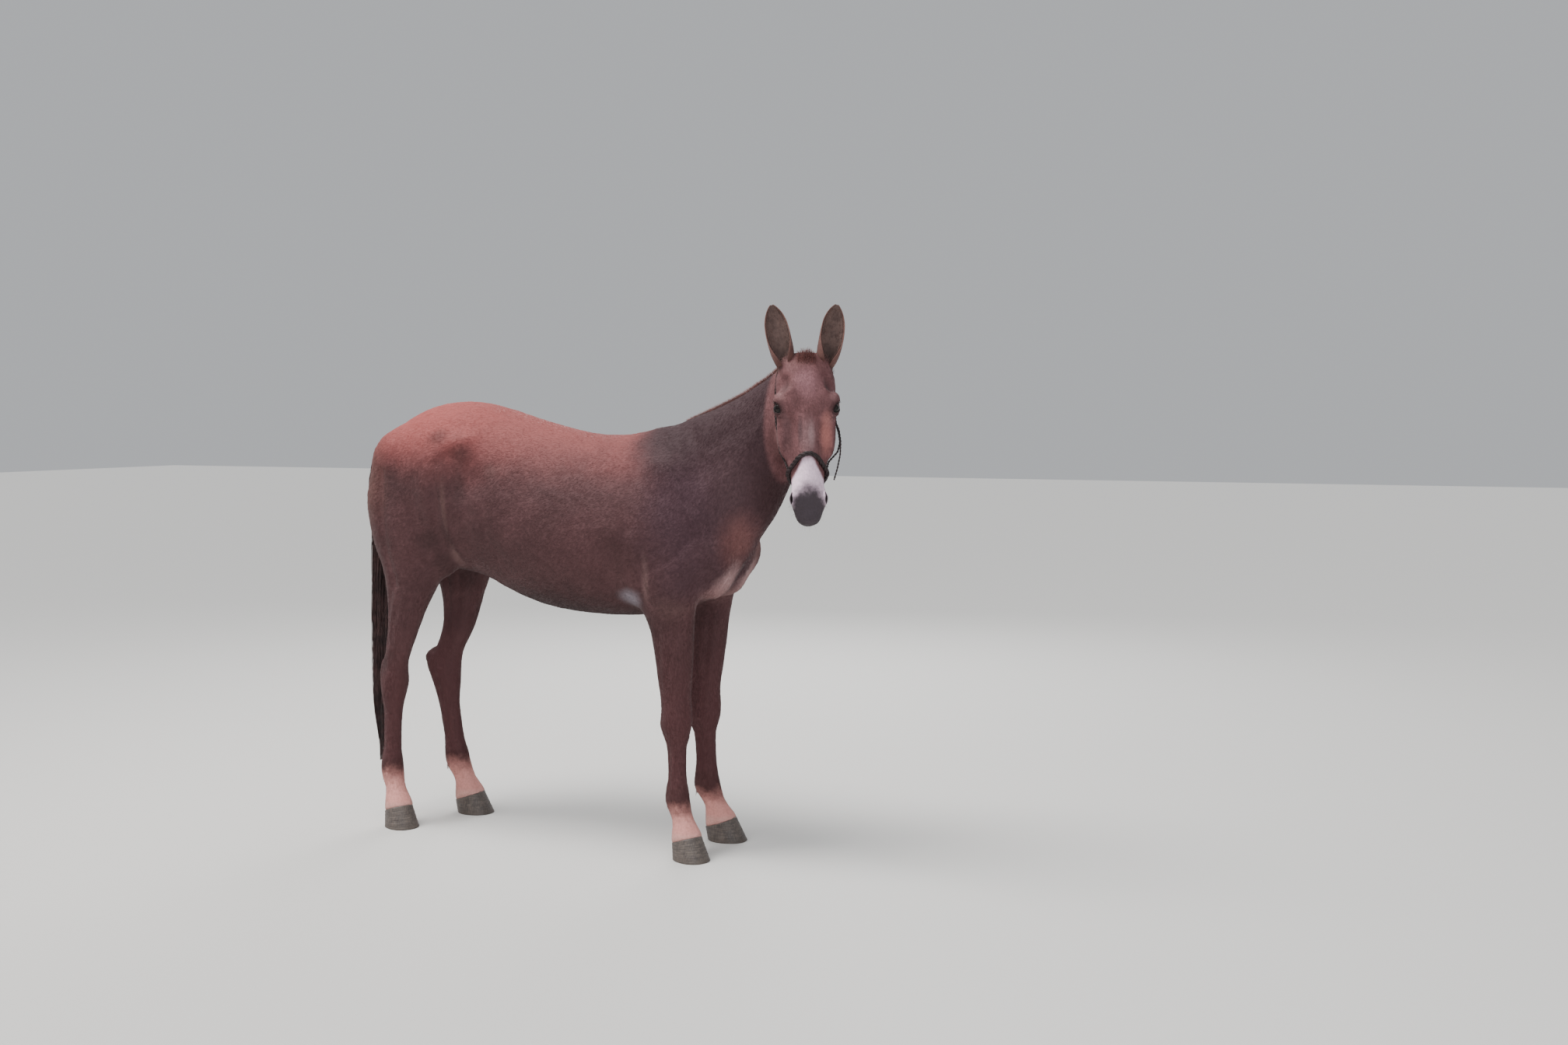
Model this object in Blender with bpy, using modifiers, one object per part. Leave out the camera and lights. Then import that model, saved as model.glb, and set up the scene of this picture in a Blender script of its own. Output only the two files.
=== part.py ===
"""A mule, life size, standing square on a flat floor and looking round over its right side.

Metres, +X towards the animal's front, +Y towards its left, +Z up, soles at Z = 0.
The flesh is modelled whole from two-rail lofts and muscle masses, fused into one skin,
and then parted by thin cuts into head, neck, torso and legs.
"""

import math
import random

import bmesh
import bpy
import numpy as np
from mathutils import Matrix, Vector
from mathutils.bvhtree import BVHTree

GAP = 0.0003  # clearance between nodes that meet face to face

# How fine the fused skin is, and how many triangles each piece of it keeps
VOXEL = 0.007
SKIN_ROUNDS = 100
LAST_ROUNDS = 4
SOFTNESS = {"trunk": 1.0, "legs": 0.09, "head": 0.07}
SKIN_TRIANGLES = 7200
RIM_MERGE = 0.0025
# How readily each region gives triangles up, and how much that counts beside the shape itself
GIVES = {"trunk": 1.0, "legs": 0.7, "head": 0.2}
THIN_PULL = 0.03

# Where the body is parted
LEG_TOP = 0.775
NECK_BASE_POINT = (0.56, 0.0, 1.24)
NECK_BASE_NORMAL = (0.86, 0.0, 0.51)
# The head: in front of a plane behind the poll and jaw, and of one that runs on under the jaw
HEAD_CUTS = (
    ((0.828, 0.002, 1.500), (0.64, -0.76, -0.05)),
    ((0.830, 0.020, 1.372), (0.45, -0.70, 0.55)),
)
DOCK_CUT_X = -0.782

# Trunk: x, top height, bottom height, half width, where it is widest (0 top, 1 bottom),
# and how full the upper and lower quarters are (2 is an ellipse)
TRUNK = (
    (-0.765, 1.300, 1.130, 0.070, 0.50, 2.0, 2.0),
    (-0.745, 1.365, 1.050, 0.130, 0.50, 2.0, 2.0),
    (-0.690, 1.432, 0.985, 0.185, 0.50, 2.1, 2.0),
    (-0.620, 1.478, 0.950, 0.222, 0.50, 2.1, 2.0),
    (-0.530, 1.508, 0.930, 0.243, 0.48, 2.1, 2.0),
    (-0.445, 1.519, 0.915, 0.250, 0.46, 2.0, 2.0),
    (-0.340, 1.509, 0.895, 0.244, 0.48, 1.9, 2.0),
    (-0.240, 1.484, 0.853, 0.244, 0.53, 1.8, 2.1),
    (-0.120, 1.450, 0.812, 0.254, 0.57, 1.8, 2.1),
    (0.000, 1.421, 0.792, 0.263, 0.60, 1.8, 2.1),
    (0.120, 1.403, 0.785, 0.264, 0.60, 1.8, 2.1),
    (0.240, 1.412, 0.787, 0.250, 0.60, 1.6, 2.1),
    (0.340, 1.438, 0.800, 0.226, 0.60, 1.5, 2.1),
    (0.430, 1.446, 0.822, 0.202, 0.60, 1.5, 2.1),
    (0.520, 1.420, 0.856, 0.178, 0.58, 1.7, 2.1),
    (0.590, 1.350, 0.900, 0.146, 0.55, 2.0, 2.1),
    (0.640, 1.240, 0.960, 0.100, 0.52, 2.0, 2.0),
    (0.668, 1.150, 1.020, 0.050, 0.50, 2.0, 2.0),
)

# Neck: a point of the crest, the point of the underline across from it, and the half width
NECK = (
    ((0.300, 0.000, 1.390), (0.480, 0.000, 0.960), 0.130),
    ((0.420, 0.000, 1.458), (0.645, 0.000, 1.020), 0.124),
    ((0.535, 0.000, 1.501), (0.730, 0.000, 1.120), 0.106),
    ((0.638, 0.000, 1.546), (0.776, 0.000, 1.206), 0.092),
    ((0.730, -0.010, 1.600), (0.808, 0.004, 1.285), 0.083),
    ((0.790, -0.034, 1.634), (0.828, 0.012, 1.350), 0.078),
    ((0.832, -0.066, 1.643), (0.836, 0.014, 1.396), 0.074),
    ((0.862, -0.098, 1.632), (0.846, 0.000, 1.440), 0.066),
)

# Head: where it is held. Its own frame runs down the face, to the animal's left, and out of the face
POLL = (0.904, -0.132, 1.691)
HEAD_YAW = math.radians(-65.0)
HEAD_PITCH = math.radians(13.5)
HEAD_ROLL = math.radians(0.5)

# Head: distance down the face, face line, jaw line, half width, widest place, fullness above and below
HEAD = (
    (0.006, -0.062, -0.150, 0.045, 0.50, 2.0, 2.0),
    (0.022, -0.024, -0.178, 0.070, 0.45, 2.2, 2.0),
    (0.060, -0.004, -0.206, 0.086, 0.42, 2.4, 2.0),
    (0.110, 0.007, -0.228, 0.092, 0.42, 2.5, 2.0),
    (0.150, 0.010, -0.239, 0.093, 0.46, 2.3, 2.0),
    (0.195, 0.008, -0.242, 0.092, 0.54, 2.0, 2.1),
    (0.240, 0.004, -0.237, 0.093, 0.60, 1.8, 2.2),
    (0.280, 0.002, -0.222, 0.091, 0.62, 1.60, 2.2),
    (0.318, 0.001, -0.197, 0.084, 0.64, 1.50, 2.1),
    (0.352, 0.000, -0.168, 0.072, 0.63, 1.45, 2.0),
    (0.388, -0.001, -0.142, 0.058, 0.58, 1.55, 2.0),
    (0.426, -0.004, -0.126, 0.051, 0.52, 1.90, 2.0),
    (0.464, -0.008, -0.118, 0.051, 0.48, 2.3, 2.0),
    (0.498, -0.014, -0.113, 0.050, 0.46, 2.3, 2.0),
    (0.526, -0.023, -0.106, 0.045, 0.46, 2.3, 2.0),
    (0.549, -0.036, -0.098, 0.037, 0.46, 2.2, 2.0),
    (0.565, -0.050, -0.088, 0.024, 0.50, 2.0, 2.0),
)

# Fore leg: height, front and back of the leg from its own axis, half width, distance out from the middle
FORE_LEG = (
    (1.100, 0.120, -0.180, 0.050, 0.140),
    (0.980, 0.124, -0.175, 0.062, 0.148),
    (0.900, 0.104, -0.155, 0.065, 0.150),
    (0.840, 0.087, -0.121, 0.064, 0.148),
    (0.780, 0.077, -0.090, 0.061, 0.142),
    (0.700, 0.070, -0.076, 0.056, 0.134),
    (0.600, 0.059, -0.068, 0.051, 0.126),
    (0.520, 0.052, -0.059, 0.047, 0.120),
    (0.475, 0.056, -0.058, 0.050, 0.118),
    (0.440, 0.055, -0.066, 0.050, 0.118),
    (0.405, 0.045, -0.056, 0.041, 0.118),
    (0.375, 0.036, -0.045, 0.032, 0.119),
    (0.320, 0.034, -0.042, 0.028, 0.120),
    (0.255, 0.035, -0.043, 0.029, 0.120),
    (0.215, 0.040, -0.049, 0.035, 0.120),
    (0.185, 0.045, -0.052, 0.038, 0.120),
    (0.157, 0.053, -0.038, 0.035, 0.120),
    (0.130, 0.065, -0.016, 0.034, 0.120),
    (0.105, 0.084, -0.006, 0.040, 0.120),
    (0.080, 0.104, -0.008, 0.047, 0.120),
    (0.030, 0.104, -0.008, 0.047, 0.120),
    (-0.040, 0.104, -0.008, 0.047, 0.120),
)

# Hind leg: the same five sizes at each height
HIND_LEG = (
    (1.260, 0.260, -0.045, 0.080, 0.135),
    (1.190, 0.270, -0.080, 0.094, 0.138),
    (1.100, 0.268, -0.070, 0.100, 0.142),
    (1.000, 0.252, -0.036, 0.095, 0.146),
    (0.940, 0.238, -0.016, 0.086, 0.146),
    (0.880, 0.214, 0.000, 0.076, 0.144),
    (0.840, 0.196, 0.008, 0.069, 0.141),
    (0.780, 0.172, 0.016, 0.060, 0.136),
    (0.720, 0.149, 0.015, 0.053, 0.131),
    (0.660, 0.118, 0.000, 0.046, 0.127),
    (0.620, 0.094, -0.024, 0.040, 0.125),
    (0.595, 0.084, -0.055, 0.037, 0.125),
    (0.570, 0.078, -0.070, 0.038, 0.125),
    (0.540, 0.070, -0.066, 0.045, 0.125),
    (0.500, 0.061, -0.056, 0.045, 0.125),
    (0.460, 0.050, -0.049, 0.039, 0.125),
    (0.420, 0.042, -0.045, 0.032, 0.124),
    (0.340, 0.036, -0.042, 0.029, 0.123),
    (0.270, 0.036, -0.043, 0.030, 0.122),
    (0.225, 0.042, -0.048, 0.036, 0.121),
    (0.190, 0.047, -0.050, 0.038, 0.121),
    (0.158, 0.055, -0.036, 0.036, 0.121),
    (0.130, 0.067, -0.014, 0.035, 0.121),
    (0.105, 0.086, -0.006, 0.041, 0.121),
    (0.080, 0.106, -0.008, 0.047, 0.121),
    (0.030, 0.106, -0.008, 0.047, 0.121),
    (-0.040, 0.106, -0.008, 0.047, 0.121),
)

# Hoof: coronet at the toe and heel, and the sole's toe, heel and half width, from the leg's axis
CORONET_TOE = (0.103, 0.078)
CORONET_HEEL = (-0.008, 0.042)
CORONET_HALF_WIDTH = 0.0475
SOLE_TOE = 0.142
SOLE_HEEL = 0.002
SOLE_HALF_WIDTH = 0.0575

# Stance of each leg: profile, side, axis x at the knee or hock, axis x at the fetlock, toe turned out
STANCE = {
    "fore_leg_right": ("fore", -1, 0.437, 0.441, math.radians(-28)),
    "fore_leg_left": ("fore", 1, 0.428, 0.438, math.radians(3)),
    "hind_leg_right": ("hind", -1, -0.690, -0.706, math.radians(-30)),
    "hind_leg_left": ("hind", 1, -0.652, -0.588, math.radians(2)),
}
KNEE_HEIGHT = 0.45
HOCK_HEIGHT = 0.55
FETLOCK_HEIGHT = 0.20
TURN_FROM = {"fore": 0.82, "hind": 0.98}
TURN_FULL = {"fore": 0.52, "hind": 0.64}

# Muscle and bone masses of the right side, mirrored to the left: centre, radii, pitch of the long axis
BODY_MASSES = {
    "shoulder_blade": ((0.430, -0.124, 1.165), (0.095, 0.052, 0.195), math.radians(-26)),
    "point_of_shoulder": ((0.575, -0.118, 1.010), (0.068, 0.062, 0.090), 0.0),
    "breast": ((0.540, -0.066, 0.945), (0.070, 0.066, 0.095), math.radians(-10)),
    "triceps": ((0.365, -0.155, 0.965), (0.115, 0.058, 0.140), math.radians(20)),
    "point_of_hip": ((-0.360, -0.180, 1.360), (0.075, 0.052, 0.055), 0.0),
    "rump": ((-0.600, -0.118, 1.285), (0.165, 0.110, 0.150), math.radians(20)),
    "buttock": ((-0.690, -0.112, 1.190), (0.096, 0.082, 0.170), math.radians(6)),
    "thigh": ((-0.590, -0.150, 1.100), (0.160, 0.092, 0.210), math.radians(8)),
    "stifle": ((-0.462, -0.150, 1.000), (0.070, 0.056, 0.110), math.radians(-12)),
}
DOCK_STUMP = ((-0.680, 0.0, 1.362), (-0.850, 0.0, 1.292), 0.040)

# The same for the head, in its own frame, on the left and mirrored to the right
HEAD_MASSES = {
    "brow": ((0.172, 0.079, -0.029), (0.035, 0.028, 0.026), math.radians(-4)),
    "forehead": ((0.160, 0.046, -0.028), (0.070, 0.040, 0.035), 0.0),
    "cheekbone": ((0.262, 0.076, -0.072), (0.090, 0.017, 0.020), math.radians(6)),
    "jaw_muscle": ((0.215, 0.058, -0.158), (0.105, 0.038, 0.080), 0.0),
    "nostril_wing": ((0.486, 0.039, -0.036), (0.046, 0.018, 0.025), math.radians(10)),
    "ear_root": ((0.056, 0.054, -0.066), (0.040, 0.032, 0.036), 0.0),
}
UPPER_LIP = ((0.534, 0.0, -0.054), (0.038, 0.043, 0.029))
LOWER_LIP = ((0.534, 0.0, -0.094), (0.036, 0.033, 0.022))
CHIN = ((0.500, 0.0, -0.106), (0.036, 0.029, 0.021))

# Dents and swellings pressed into the fused skin: centre, reach, and how far out the skin moves.
# The body's are for the left side and the head's are in its own frame; both are mirrored
BODY_PRESSES = {
    "flank_hollow": ((-0.300, 0.235, 1.240), (0.100, 0.090, 0.100), -0.018),
    "thigh_front": ((-0.415, 0.230, 1.190), (0.034, 0.090, 0.120), -0.016),
    "thigh_edge": ((-0.465, 0.240, 1.170), (0.040, 0.090, 0.150), 0.008),
    "flank_fold": ((-0.365, 0.200, 1.020), (0.060, 0.080, 0.080), 0.010),
    "girth": ((0.240, 0.240, 0.960), (0.070, 0.100, 0.150), -0.011),
    "blade_back": ((0.265, 0.200, 1.300), (0.060, 0.090, 0.110), -0.009),
    "blade_front": ((0.515, 0.130, 1.250), (0.045, 0.080, 0.140), -0.013),
    "jugular": ((0.700, 0.075, 1.180), (0.040, 0.060, 0.120), -0.008),
    "breast_groove": ((0.620, 0.000, 0.950), (0.090, 0.022, 0.100), -0.022),
    "ham_groove": ((-0.640, 0.240, 1.130), (0.026, 0.080, 0.180), -0.007),
    "cleft": ((-0.790, 0.000, 1.150), (0.080, 0.034, 0.160), -0.020),
}
HEAD_PRESSES = {
    "temple": ((0.122, 0.070, -0.016), (0.034, 0.034, 0.040), -0.009),
    "under_eye": ((0.268, 0.094, -0.040), (0.055, 0.034, 0.030), -0.006),
    "nose_side": ((0.370, 0.058, -0.036), (0.080, 0.034, 0.032), -0.007),
    "jaw_front": ((0.345, 0.060, -0.125), (0.060, 0.040, 0.050), -0.006),
    "above_lip": ((0.516, 0.000, -0.010), (0.030, 0.028, 0.030), -0.003),
    "chin_groove": ((0.462, 0.000, -0.122), (0.030, 0.040, 0.024), -0.005),
}

# Eyes, lids, nostrils and mouth, in the head's frame, for the left side
EYE_RADIUS = 0.0230
EYE_CENTRE = (0.197, 0.0800, -0.040)
EYE_LOOKS = (0.04, 0.87, 0.49)
EYE_UPWARD = (-0.57, 0.0, 0.82)
LID_MASS_RADII = (0.0340, 0.0290, 0.0264)
LID_OPENING = (0.0205, 0.0138, 0.0112)
LID_DEPTHS = ((0.004, 0.90), (0.0225, 1.00), (0.034, 1.30))
NOSTRIL_CENTRE = (0.492, 0.0510, -0.032)
NOSTRIL_RADII = (0.0215, 0.0180, 0.0085)
NOSTRIL_TILT = math.radians(16)
MOUTH_CORNER = 0.484
MOUTH_LEVEL = -0.076
MOUTH_GROOVE_RADIUS = 0.0028

# Ears: the root's place in the head's frame, where the ear points and opens, for the left side
EAR_LENGTH = 0.225
EAR_THICKNESS = 0.0045
EAR_ROOT = (0.070, 0.0570, -0.066)
EAR_POINTS = (-0.970, 0.215, 0.06)
EAR_OPENS = (0.20, 0.50, 1.0)
EAR_ROWS = 12
EAR_COLUMNS = 11
# How far up the ear as a share, the cup's radius, and half the angle that it closes round
EAR_CUP = (
    (0.00, 0.0240, 165.0),
    (0.12, 0.0310, 158.0),
    (0.26, 0.0375, 138.0),
    (0.44, 0.0395, 108.0),
    (0.62, 0.0390, 88.0),
    (0.76, 0.0360, 76.0),
    (0.88, 0.0270, 68.0),
    (0.96, 0.0150, 64.0),
    (1.00, 0.0060, 60.0),
)

# Tail: x and height of the line that its core hangs along, and the core's half depth and half width
TAIL_LINE = (
    (-0.735, 1.352, 0.040, 0.038),
    (-0.784, 1.330, 0.042, 0.040),
    (-0.818, 1.262, 0.038, 0.042),
    (-0.824, 1.100, 0.032, 0.044),
    (-0.828, 0.850, 0.028, 0.046),
    (-0.834, 0.600, 0.025, 0.044),
    (-0.840, 0.400, 0.018, 0.033),
    (-0.838, 0.260, 0.007, 0.013),
)
# Its locks: how many, where they root and end along the tail as shares, half width, half thickness
TAIL_LOCKS = (
    (7, 0.08, 0.60, 0.0150, 0.0052),
    (9, 0.28, 0.86, 0.0155, 0.0052),
    (10, 0.50, 1.07, 0.0140, 0.0048),
)
LOCK_ROWS = 6

# Mane: a short bristle along the crest, from its share of the crest's length to another
MANE_FROM = 0.22
MANE_TO = 0.86
MANE_TUFTS = 24
MANE_CORE_RINGS = 14
MANE_HEIGHT = 0.013
MANE_SINK = 0.014
MANE_CORE_HALF_WIDTH = 0.0060
FORELOCK_PAD = ((0.046, 0.0, -0.030), (0.024, 0.026, 0.020))
FORELOCK_TUFTS = 9
FORELOCK_LENGTH = 0.040

# Halter: the rolled noseband, its knots, and the thin headstall that runs behind the ears
BAND_RADIUS = 0.0090
BAND_TOP = (0.352, 0.0, 0.0)
BAND_HEEL = (0.452, 0.0, -0.150)
BAND_POINTS = 24
STRAP_RADIUS = 0.0036
STRAP_LEVEL = -0.122
STRAP_LEVEL_LOW = -0.086
STRAP_DOWN_TO = 0.360
STRAP_CHEEK_POINTS = 7
STRAP_CROWN_POINTS = 12
STRAP_SLACK = 0.020
HEEL_KNOT_RADII = (0.020, 0.016, 0.014)
SIDE_KNOT_RADII = (0.014, 0.008, 0.011)

CLEAR = 1.6 * GAP
SEED = 7

COLOURS = {
    "coat": ((0.27, 0.105, 0.065), 0.75, 0.0),
    "muzzle": ((0.27, 0.105, 0.065), 0.75, 0.0),
    "hair": ((0.075, 0.035, 0.028), 0.7, 0.0),
    "horn": ((0.085, 0.070, 0.062), 0.55, 0.0),
    "eye": ((0.012, 0.008, 0.007), 0.08, 0.0),
    "leather": ((0.040, 0.024, 0.020), 0.5, 0.0),
}


def clear_scene():
    """Empties the file, so that the script can be run again."""
    for thing in list(bpy.data.objects):
        bpy.data.objects.remove(thing, do_unlink=True)


def make_collection(name):
    """A new collection under the scene's own."""
    made = bpy.data.collections.new(name)
    bpy.context.scene.collection.children.link(made)
    return made


def make_material(name):
    """A plain Principled material in the named colour."""
    colour, roughness, metallic = COLOURS[name]
    made = bpy.data.materials.new(name)
    made.use_nodes = True
    shader = made.node_tree.nodes["Principled BSDF"]
    shader.inputs["Base Color"].default_value = (*colour, 1.0)
    shader.inputs["Roughness"].default_value = roughness
    shader.inputs["Metallic"].default_value = metallic
    return made


def add_object(name, mesh):
    """An object for the mesh, linked to the scene."""
    thing = bpy.data.objects.new(name, mesh)
    bpy.context.scene.collection.objects.link(thing)
    return thing


def solid(name, shape):
    """An object from a finished bmesh, its faces turned outward."""
    shape.normal_update()
    bmesh.ops.recalc_face_normals(shape, faces=shape.faces)
    mesh = bpy.data.meshes.new(name)
    shape.to_mesh(mesh)
    shape.free()
    return add_object(name, mesh)


def settle(thing):
    """Applies the object's modifiers: what they make goes into a mesh of its own."""
    bpy.context.view_layer.update()
    graph = bpy.context.evaluated_depsgraph_get()
    mesh = bpy.data.meshes.new_from_object(thing.evaluated_get(graph))
    name = thing.name
    bpy.data.objects.remove(thing, do_unlink=True)
    return add_object(name, mesh)


def through(points, count):
    """Rows of numbers spread evenly along a smooth curve through the given rows."""
    rows = np.array(points, float)
    span = np.linalg.norm(np.diff(rows[:, :3], axis=0), axis=1)
    knots = np.concatenate([[0.0], np.cumsum(span)])
    slopes = np.gradient(rows, knots, axis=0)
    found = []
    for distance in np.linspace(0.0, knots[-1], count):
        k = min(np.searchsorted(knots, distance, side="right") - 1, len(rows) - 2)
        width = knots[k + 1] - knots[k]
        t = (distance - knots[k]) / width
        found.append(
            (2 * t**3 - 3 * t**2 + 1) * rows[k]
            + (t**3 - 2 * t**2 + t) * width * slopes[k]
            + (3 * t**2 - 2 * t**3) * rows[k + 1]
            + (t**3 - t**2) * width * slopes[k + 1]
        )
    return np.array(found)


def skin_between(shape, loops):
    """Faces from each loop to the next, and a cap on both ends."""
    sides = len(loops[0])
    for a, b in zip(loops, loops[1:]):
        for k in range(sides):
            shape.faces.new((a[k], a[(k + 1) % sides], b[(k + 1) % sides], b[k]))
    shape.faces.new(reversed(loops[0]))
    shape.faces.new(loops[-1])


def rail_loft(name, stations, rings, sides):
    """A closed body lofted between two rails.

    Each station holds a point of the upper rail, a point of the lower rail, the half width,
    where the section is widest from top to bottom, and how full its two halves are.
    """
    rows = through([(*top, *low, *rest) for top, low, *rest in stations], rings)
    along = np.gradient((rows[:, 0:3] + rows[:, 3:6]) / 2, axis=0)
    shape = bmesh.new()
    loops = []
    for row, tangent in zip(rows, along):
        top, low = Vector(row[0:3]), Vector(row[3:6])
        half_width, widest, full_top, full_low = row[6:10]
        rise = (top - low).normalized()
        side = Vector(tangent).cross(rise).normalized()
        middle = top.lerp(low, widest)
        loop = []
        for k in range(sides):
            angle = 2 * math.pi * k / sides
            across, up = math.cos(angle), math.sin(angle)
            full = full_top if up > 0 else full_low
            reach = (top - middle).length if up > 0 else (low - middle).length
            point = middle + side * half_width * math.copysign(abs(across) ** (2 / full), across)
            point += rise * reach * math.copysign(abs(up) ** (2 / full), up)
            loop.append(shape.verts.new(point))
        loops.append(loop)
    skin_between(shape, loops)
    return solid(name, shape)


def ellipsoid(name, centre, radii, pitch=0.0, segments=24, frame=None):
    """A sphere stretched to three radii, its long axis pitched about Y, placed in a frame."""
    shape = bmesh.new()
    bmesh.ops.create_uvsphere(shape, u_segments=segments, v_segments=segments // 2, radius=1.0)
    place = Matrix.Translation(centre) @ Matrix.Rotation(pitch, 4, "Y") @ Matrix.Diagonal((*radii, 1.0))
    shape.transform((frame or Matrix.Identity(4)) @ place)
    return solid(name, shape)


def tube(name, points, radius, cyclic=False, sides=8):
    """A round tube along the points, as one closed mesh."""
    curve = bpy.data.curves.new(name, "CURVE")
    curve.dimensions = "3D"
    curve.bevel_depth = radius
    curve.bevel_resolution = (sides - 4) // 2
    curve.use_fill_caps = not cyclic
    line = curve.splines.new("POLY")
    line.points.add(len(points) - 1)
    for place, point in zip(line.points, points):
        place.co = (*point, 1.0)
    line.use_cyclic_u = cyclic
    thing = settle(add_object(name, curve))
    shape = bmesh.new()
    shape.from_mesh(thing.data)
    bmesh.ops.remove_doubles(shape, verts=shape.verts, dist=0.00001)
    bpy.data.objects.remove(thing, do_unlink=True)
    return solid(name, shape)


def lock(points, outs, half_width, half_thickness):
    """A flat lock of hair that tapers to its tip; outs says which way its flat side faces."""
    shape = bmesh.new()
    loops = []
    for k, (point, out) in enumerate(zip(points, outs)):
        share = k / (len(points) - 1)
        run = (points[min(k + 1, len(points) - 1)] - points[max(k - 1, 0)]).normalized()
        across = run.cross(out).normalized()
        taper = (0.75 + 0.5 * share) if share < 0.5 else 1.0 * (1.0 - 0.9 * ((share - 0.5) / 0.5) ** 1.6)
        wide, thick = half_width * taper, half_thickness * taper
        ways = (across * wide, out * thick, across * -wide, out * -thick)
        loops.append([shape.verts.new(point + way) for way in ways])
    skin_between(shape, loops)
    return solid("lock", shape)


def head_frame():
    """The head's own frame: X down the face, Y to the animal's left, Z out of the face."""
    forward = Vector((math.cos(HEAD_YAW), math.sin(HEAD_YAW), 0.0))
    down = Vector((0.0, 0.0, -math.cos(HEAD_PITCH))) + forward * math.sin(HEAD_PITCH)
    out = forward * math.cos(HEAD_PITCH) + Vector((0.0, 0.0, math.sin(HEAD_PITCH)))
    left = out.cross(down)
    turned = Matrix((down, left, out)).transposed().to_4x4()
    return Matrix.Translation(POLL) @ turned @ Matrix.Rotation(HEAD_ROLL, 4, "Z")


def mirrored(point, side):
    """The point itself for side 1, and its mirror across the middle for side -1."""
    return (point[0], point[1] * side, point[2])


def trunk():
    """The barrel from buttocks to breast."""
    stations = [((x, 0, top), (x, 0, low), *rest) for x, top, low, *rest in TRUNK]
    return rail_loft("trunk", stations, 60, 40)


def neck():
    """The neck, between its crest and its underline."""
    stations = [(crest, under, wide, 0.56, 1.75, 2.0) for crest, under, wide in NECK]
    return rail_loft("neck_flesh", stations, 34, 32)


def head_flesh(frame):
    """The skull with its flesh, between the face line and the jaw line."""
    stations = []
    for down, face, jaw, *rest in HEAD:
        stations.append((frame @ Vector((down, 0, face)), frame @ Vector((down, 0, jaw)), *rest))
    return rail_loft("head_flesh", stations, 56, 32)


def eased(share):
    """A share between 0 and 1, eased in and out."""
    share = min(1.0, max(0.0, share))
    return share * share * (3 - 2 * share)


def leg_axis(stance, height):
    """Where a leg's axis stands at a height, and how far the leg is turned out there."""
    kind, _, joint_x, fetlock_x, turn = STANCE[stance]
    joint_height = KNEE_HEIGHT if kind == "fore" else HOCK_HEIGHT
    top_x = STANCE[f"{kind}_leg_right"][2]
    turned = turn * eased((TURN_FROM[kind] - height) / (TURN_FROM[kind] - TURN_FULL[kind]))
    if height >= joint_height:
        return joint_x + (top_x - joint_x) * eased((height - joint_height) / 0.55), turned
    share = min(1.0, (joint_height - height) / (joint_height - FETLOCK_HEIGHT))
    return joint_x + (fetlock_x - joint_x) * share, turned


def leg_point(stance, height, forward, out):
    """A point of a leg: so far forward of its axis, and so far out from the body's middle."""
    x, turn = leg_axis(stance, height)
    side = STANCE[stance][1]
    return (x + forward * math.cos(turn), side * out + forward * math.sin(turn), height)


def foot_point(stance, height, forward, out):
    """A point of the foot, at any height, with the turn that the foot has."""
    x, y, _ = leg_point(stance, FETLOCK_HEIGHT / 2, forward, out)
    return (x, y, height)


def leg_flesh(stance):
    """One leg from inside the trunk to inside the hoof."""
    profile = FORE_LEG if STANCE[stance][0] == "fore" else HIND_LEG
    stations = []
    for height, front, back, half_width, out in profile:
        ahead = leg_point(stance, height, front, out)
        behind = leg_point(stance, height, back, out)
        stations.append((ahead, behind, half_width, 0.5, 2.1, 2.1))
    return rail_loft(f"{stance}_flesh", stations, 76, 24)


def eye_frame(frame, side):
    """The eye's own frame: X to its inner corner, Y to the upper lid, Z where it looks."""
    looks = Vector(mirrored(EYE_LOOKS, side)).normalized()
    upward = Vector(EYE_UPWARD)
    upward = (upward - looks * upward.dot(looks)).normalized()
    turned = Matrix((upward.cross(looks) * side, upward, looks)).transposed().to_4x4()
    return frame @ Matrix.Translation(mirrored(EYE_CENTRE, side)) @ turned


def soft_parts(frame):
    """Muscle and bone masses, lips, the flesh round the eyes and the stump of the dock."""
    made = []
    for side in (-1, 1):
        for name, (centre, radii, pitch) in BODY_MASSES.items():
            made.append(ellipsoid(name, mirrored(centre, side), radii, pitch))
        for name, (centre, radii, pitch) in HEAD_MASSES.items():
            made.append(ellipsoid(name, mirrored(centre, side), radii, pitch, frame=frame))
        made.append(ellipsoid("lids", (0, 0, 0), LID_MASS_RADII, frame=eye_frame(frame, side)))
    for name, (centre, radii) in {"upper_lip": UPPER_LIP, "lower_lip": LOWER_LIP, "chin": CHIN}.items():
        made.append(ellipsoid(name, centre, radii, frame=frame))
    start, end, radius = DOCK_STUMP
    made.append(tube("dock_stump", (start, end), radius, sides=16))
    return made


def is_head(point):
    """Whether a point lies on the head's side of the cuts behind and under the jaw."""
    if (point - Vector(POLL)).length > 0.66:
        return False
    return all((point - Vector(place)).dot(Vector(normal)) > 0 for place, normal in HEAD_CUTS)


def softness(point):
    """How strongly the skin is smoothed there: firm on legs, head and dock, soft on the trunk."""
    if is_head(point):
        return SOFTNESS["head"]
    low, high = SOFTNESS["legs"], SOFTNESS["trunk"]
    weight = low + (high - low) * eased((point.z - 0.62) / 0.22)
    weight *= 1.0 - 0.65 * eased((point.x - 0.50) / 0.22) * eased((point.z - 1.0) / 0.2)
    weight *= eased((point - Vector(DOCK_STUMP[1])).length / 0.16)
    return max(weight, low)


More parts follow.
